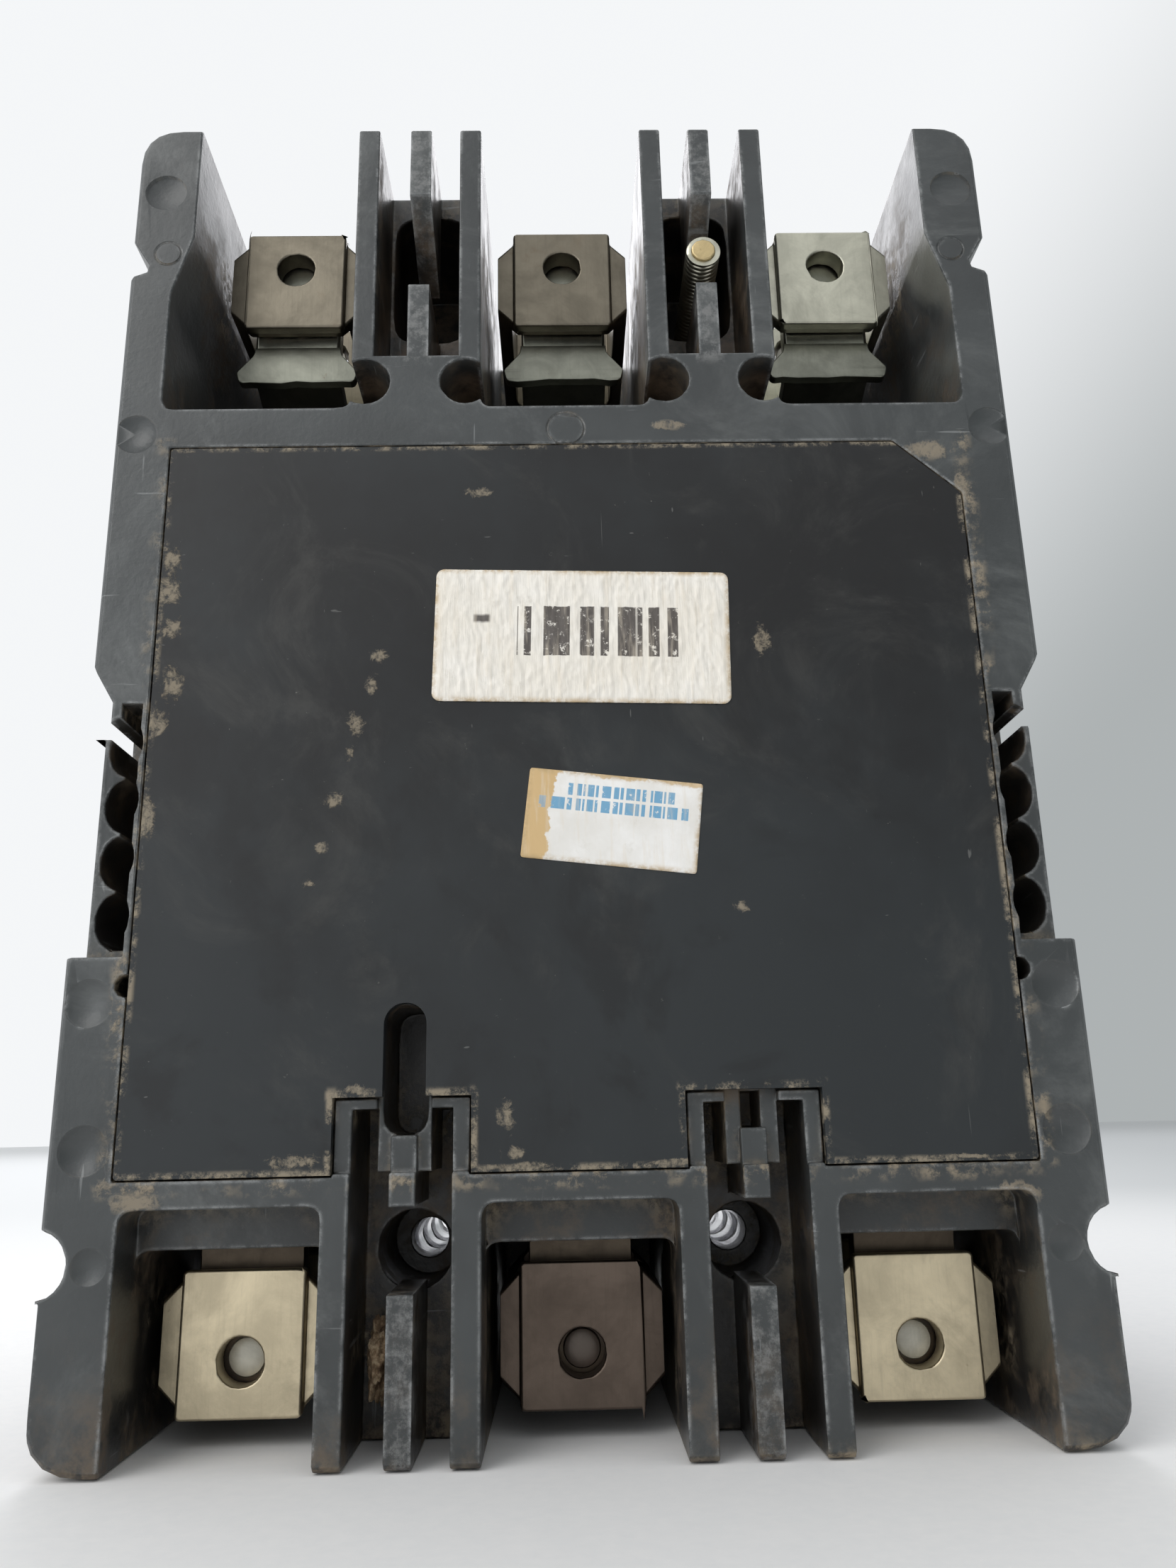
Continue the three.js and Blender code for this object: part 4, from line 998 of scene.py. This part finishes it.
# The strips along the joint of base and cover, between |x| and as far as |z|.
SEAL_INNER, SEAL_OUTER, SEAL_END = 45.6, 51.7, 75.4

# The clod's middle and half sizes, and the scale and size of each layer of lumps on it.
CLOD_PLACE = (20.3, -8.2, -67.9)
CLOD_HALF = (1.45, 2.9, 3.7)
CLOD_LUMPS = ((1.5, 0.42), (4.5, 0.22), (13, 0.09))


def block(name, width, depth, height):
    """A box between two x, two depths and two z."""
    low, high = zip(width, (-depth[1], -depth[0]), height)
    middle = (Vector(low) + Vector(high)) / 2 * MM
    shape = bmesh.new()
    bmesh.ops.create_cube(shape, size=MM)
    size = Matrix.Diagonal((*(Vector(high) - Vector(low)), 1))
    bmesh.ops.transform(shape, matrix=Matrix.Translation(middle) @ size, verts=shape.verts)
    return baked(name, shape)


def tail_cutter(x):
    """A block round the straight flare at the end of a line strap."""
    depths = (STRAP_BACK - 0.6, STRAP_BACK + STRAP_TAIL)
    return linked("tail_cutter", block("tail_cutter", (x - 9, x + 9), depths, (46.9, TAIL_TOP)))


def add_side_seals(materials):
    """Thin strips that close the joint between the base and the cover along both sides."""
    joint = -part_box("housing_base")[0].y / MM
    for name, side in SIDES.items():
        width = sorted((side * SEAL_INNER, side * SEAL_OUTER))
        strip = block(f"side_seal_{name}", width, (joint - 0.05, joint + 0.35), (-SEAL_END, SEAL_END))
        add_piece(f"side_seal_{name}", strip, materials["housing"], "housing", "housing")


def add_strap_tail(pole, materials):
    """The flared end of a line strap, with a narrow neck, round tips and an uneven lower edge."""
    x, seed = POLES[pole], list(POLES).index(pole)
    uneven = lambda k: 0.35 * noise.noise(Vector((k * 0.9, seed * 5.1, 0.5)))
    lower = [(x + k, 48.35 + uneven(k)) for k in range(-6, 7, 2)]
    outline = [
        (x - 5.6, TAIL_TOP + 0.1),
        (x - 5.7, 52.5, 1.6),
        (x - 7.9, 49.9, 0.7),
        (x - 7.5, 48.3, 0.7),
        *lower,
        (x + 7.5, 48.3, 0.7),
        (x + 7.9, 49.9, 0.7),
        (x + 5.7, 52.5, 1.6),
        (x + 5.6, TAIL_TOP + 0.1),
    ]
    tail = drawn(f"line_strap_tail_{pole}", outline, STRAP_BACK, STRAP_BACK + STRAP_TAIL, edge=0.14)
    slot = SLOT[f"line_strap_{pole}"]
    add_piece(f"line_strap_tail_{pole}", shade(tail), materials["zinc"], "housing", slot)


def add_strap_boss(pole, materials):
    """A low boss on a load strap, which shows through the round hole of the lug."""
    low, high = (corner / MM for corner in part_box(f"load_lug_screw_{pole}"))
    x, z = (low.x + high.x) / 2, (low.z + high.z) / 2
    strap = frame["nodes"][f"load_strap_{pole}"]
    y = back_surface(BVHTree.FromObject(strap, bpy.context.evaluated_depsgraph_get()), x, z)
    profile = [(0, y - 0.4), (0, y + 0.50), (1.4, y + 0.45), (1.85, y + 0.28), (2.0, y), (2.0, y - 0.4)]
    boss = shade(edit(turned(profile, (x, 0, z)), closed_up))
    finish = "dull_screw_end" if ("load", pole) in LUG_FINISH else "screw_end"
    add_piece(f"load_strap_boss_{pole}", boss, materials[finish], "housing", SLOT[f"load_strap_{pole}"])


def add_clod(materials):
    """Caked dirt in one slot between the fins at the load end."""
    shape = bmesh.new()
    bmesh.ops.create_icosphere(shape, subdivisions=5, radius=1)
    for corner in shape.verts:
        place = corner.co.copy()
        lumps = sum(noise.noise(place * scale) * size for scale, size in CLOD_LUMPS)
        corner.co = place * Vector(CLOD_HALF) * (1 + lumps)
        corner.co = (corner.co + Vector(CLOD_PLACE)) * MM
    add_piece("dirt_clod", smooth(baked("clod", shape)), materials["dirt"], "housing", "housing")


# ---------------------------------------------------------------- back plate and labels


# How far the sheet reaches past the CAD's, its corners, and the slot that opens into one notch.
PLATE_REACH = 0.14
CORNER = 0.4
VENT_LEFT, VENT_RIGHT, VENT_TOP, VENT_RADIUS = 15.3, 19.6, -33.3, 2.1


def add_back_plate(materials):
    low, high = (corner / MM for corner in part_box("back_plate"))
    reach = PLATE_REACH
    left, right, bottom, top = low.x - reach, high.x + reach, low.z - reach, high.z + reach
    outline = [
        (left, bottom, CORNER),
        (-NOTCH_OUTER, bottom),
        (-NOTCH_OUTER, NOTCH_TOP),
        (-NOTCH_INNER, NOTCH_TOP),
        (-NOTCH_INNER, bottom),
        (NOTCH_INNER, bottom),
        (NOTCH_INNER, NOTCH_TOP),
        (VENT_LEFT, NOTCH_TOP),
        (VENT_LEFT, VENT_TOP, VENT_RADIUS),
        (VENT_RIGHT, VENT_TOP, VENT_RADIUS),
        (VENT_RIGHT, NOTCH_TOP),
        (NOTCH_OUTER, NOTCH_TOP),
        (NOTCH_OUTER, bottom),
        (right, bottom, CORNER),
        (right, top, CORNER),
        (-38.3, top, 1.0),
        (left, 24, 1.0),
    ]
    mesh = shade(drawn("back_plate", outline, 0.02, high.y - low.y, edge=0.06))
    add_piece("back_plate_sheet", mesh, materials["back_plate"], "housing", "back_plate", "back_plate")


def crease_height(x, z, seed, depth):
    """Fine cross-grained wrinkles with a few long creases, in millimetres."""
    place = Vector((x * 0.35, z * 0.12, seed * 7.3))
    bend = noise.noise(place * 1.7) * 1.6
    long_crease = 1 - abs(noise.noise(Vector((x * 1.05 + bend * 1.4, z * 0.17, seed))))
    cross_crease = 1 - abs(noise.noise(Vector((x * 0.16, z * 0.55 + bend, seed + 40))))
    fine = 1 - abs(noise.noise(Vector((x * 2.0 + bend, z * 0.5 - bend, seed + 80))))
    return depth * (long_crease**5 * 0.6 + cross_crease**8 * 0.3 + fine**4 * 0.3)


def label_mesh(name, step=0.22, flat_edge=0.8):
    """A creased label with round corners, pressed flatter towards its edge."""
    label = LABELS[name]
    width, height = label["size"]
    columns, rows = round(width / step), round(height / step)
    radius = label["radius"]
    shape = bmesh.new()
    grid = []
    for j in range(rows + 1):
        row = []
        for i in range(columns + 1):
            x = width * (i / columns - 0.5)
            z = height * (j / rows - 0.5)
            past_x = abs(x) - (width / 2 - radius)
            past_z = abs(z) - (height / 2 - radius)
            if past_x > 0 and past_z > 0:
                pull = max(past_x, past_z) / math.hypot(past_x, past_z)
                x -= math.copysign(past_x * (1 - pull), x)
                z -= math.copysign(past_z * (1 - pull), z)
            inside = min(width / 2 - abs(x), height / 2 - abs(z)) / flat_edge
            crease = crease_height(x, z, label["seed"], label["creases"])
            lift = LABEL_LIFT + crease * min(max(inside, 0.25), 1)
            row.append(shape.verts.new((x * MM, lift * MM, z * MM)))
        grid.append(row)
    for j in range(rows):
        for i in range(columns):
            shape.faces.new((grid[j][i], grid[j + 1][i], grid[j + 1][i + 1], grid[j][i + 1]))
    thicken = ("SOLIDIFY", {"thickness": LABEL_THICKNESS * MM, "offset": -1.0})
    mesh = modified(smooth(baked(name, shape)), thicken)
    x, z = label["centre"]
    tilt = Matrix.Rotation(math.radians(-label["tilt"]), 4, "Y")
    mesh.transform(Matrix.Translation((x * MM, 0, z * MM)) @ tilt)
    return mesh


def add_labels():
    papers = {"label_large": large_label_paper(), "label_small": small_label_paper()}
    for name, paper in papers.items():
        add_piece(f"{name}_sheet", label_mesh(name), paper, "housing", "label_paper", name)


def finish():
    """Updates the view layer."""
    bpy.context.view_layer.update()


# ---------------------------------------------------------------- the scene

add_camera()
add_world()
add_floor()
add_area_light("key", (0.60, 0.60, 0.72), size=0.8, power=3.5, colour=(1.0, 0.985, 0.96))
add_area_light("fill", (0.9, 0.9, 0.3), size=0.9, power=2.2, colour=(0.96, 0.98, 1.0))
front_light = add_area_light("front", (0.1, -1.4, 1.1), size=1.2, power=11, colour=(0.98, 0.97, 1.0))
front_light.visible_camera = False

materials = make_materials()
for node, slot in SLOT.items():
    if slot in materials:
        frame["nodes"][node].data.materials.clear()
        frame["nodes"][node].data.materials.append(materials[slot])

refine("housing_base", 0.28, materials, marks=pin_mark_cutters("housing_base"))
refine("housing_cover", 0.34, materials)
add_back_plate(materials)
add_labels()
add_threads(materials)
for pole in POLES:
    add_strap_boss(pole, materials)
for end in ("line", "load"):
    for pole in POLES:
        lug, strap = END_FINISH[end]
        lug = LUG_FINISH.get((end, pole), lug)
        refine(f"{end}_lug_{pole}", 0.4, materials, segments=3, finish_of=lug)
        marks = tail_cutter(POLES[pole]) if end == "line" else None
        refine(f"{end}_strap_{pole}", 0.25, materials, marks=marks, finish_of=strap)
        refine(f"{end}_lug_screw_{pole}", 0.2, materials, finish_of="screw_end")
for pole in POLES:
    add_strap_tail(pole, materials)
add_clod(materials)
add_side_seals(materials)
for node in ("toggle_handle", "handle_shield", "trip_button", "rating_label", "mounting_screw"):
    refine(node, 0.3, materials)
for end in ("line", "load"):
    for side in SIDES:
        refine(f"cover_screw_{end}_{side}", 0.22, materials)

finish()
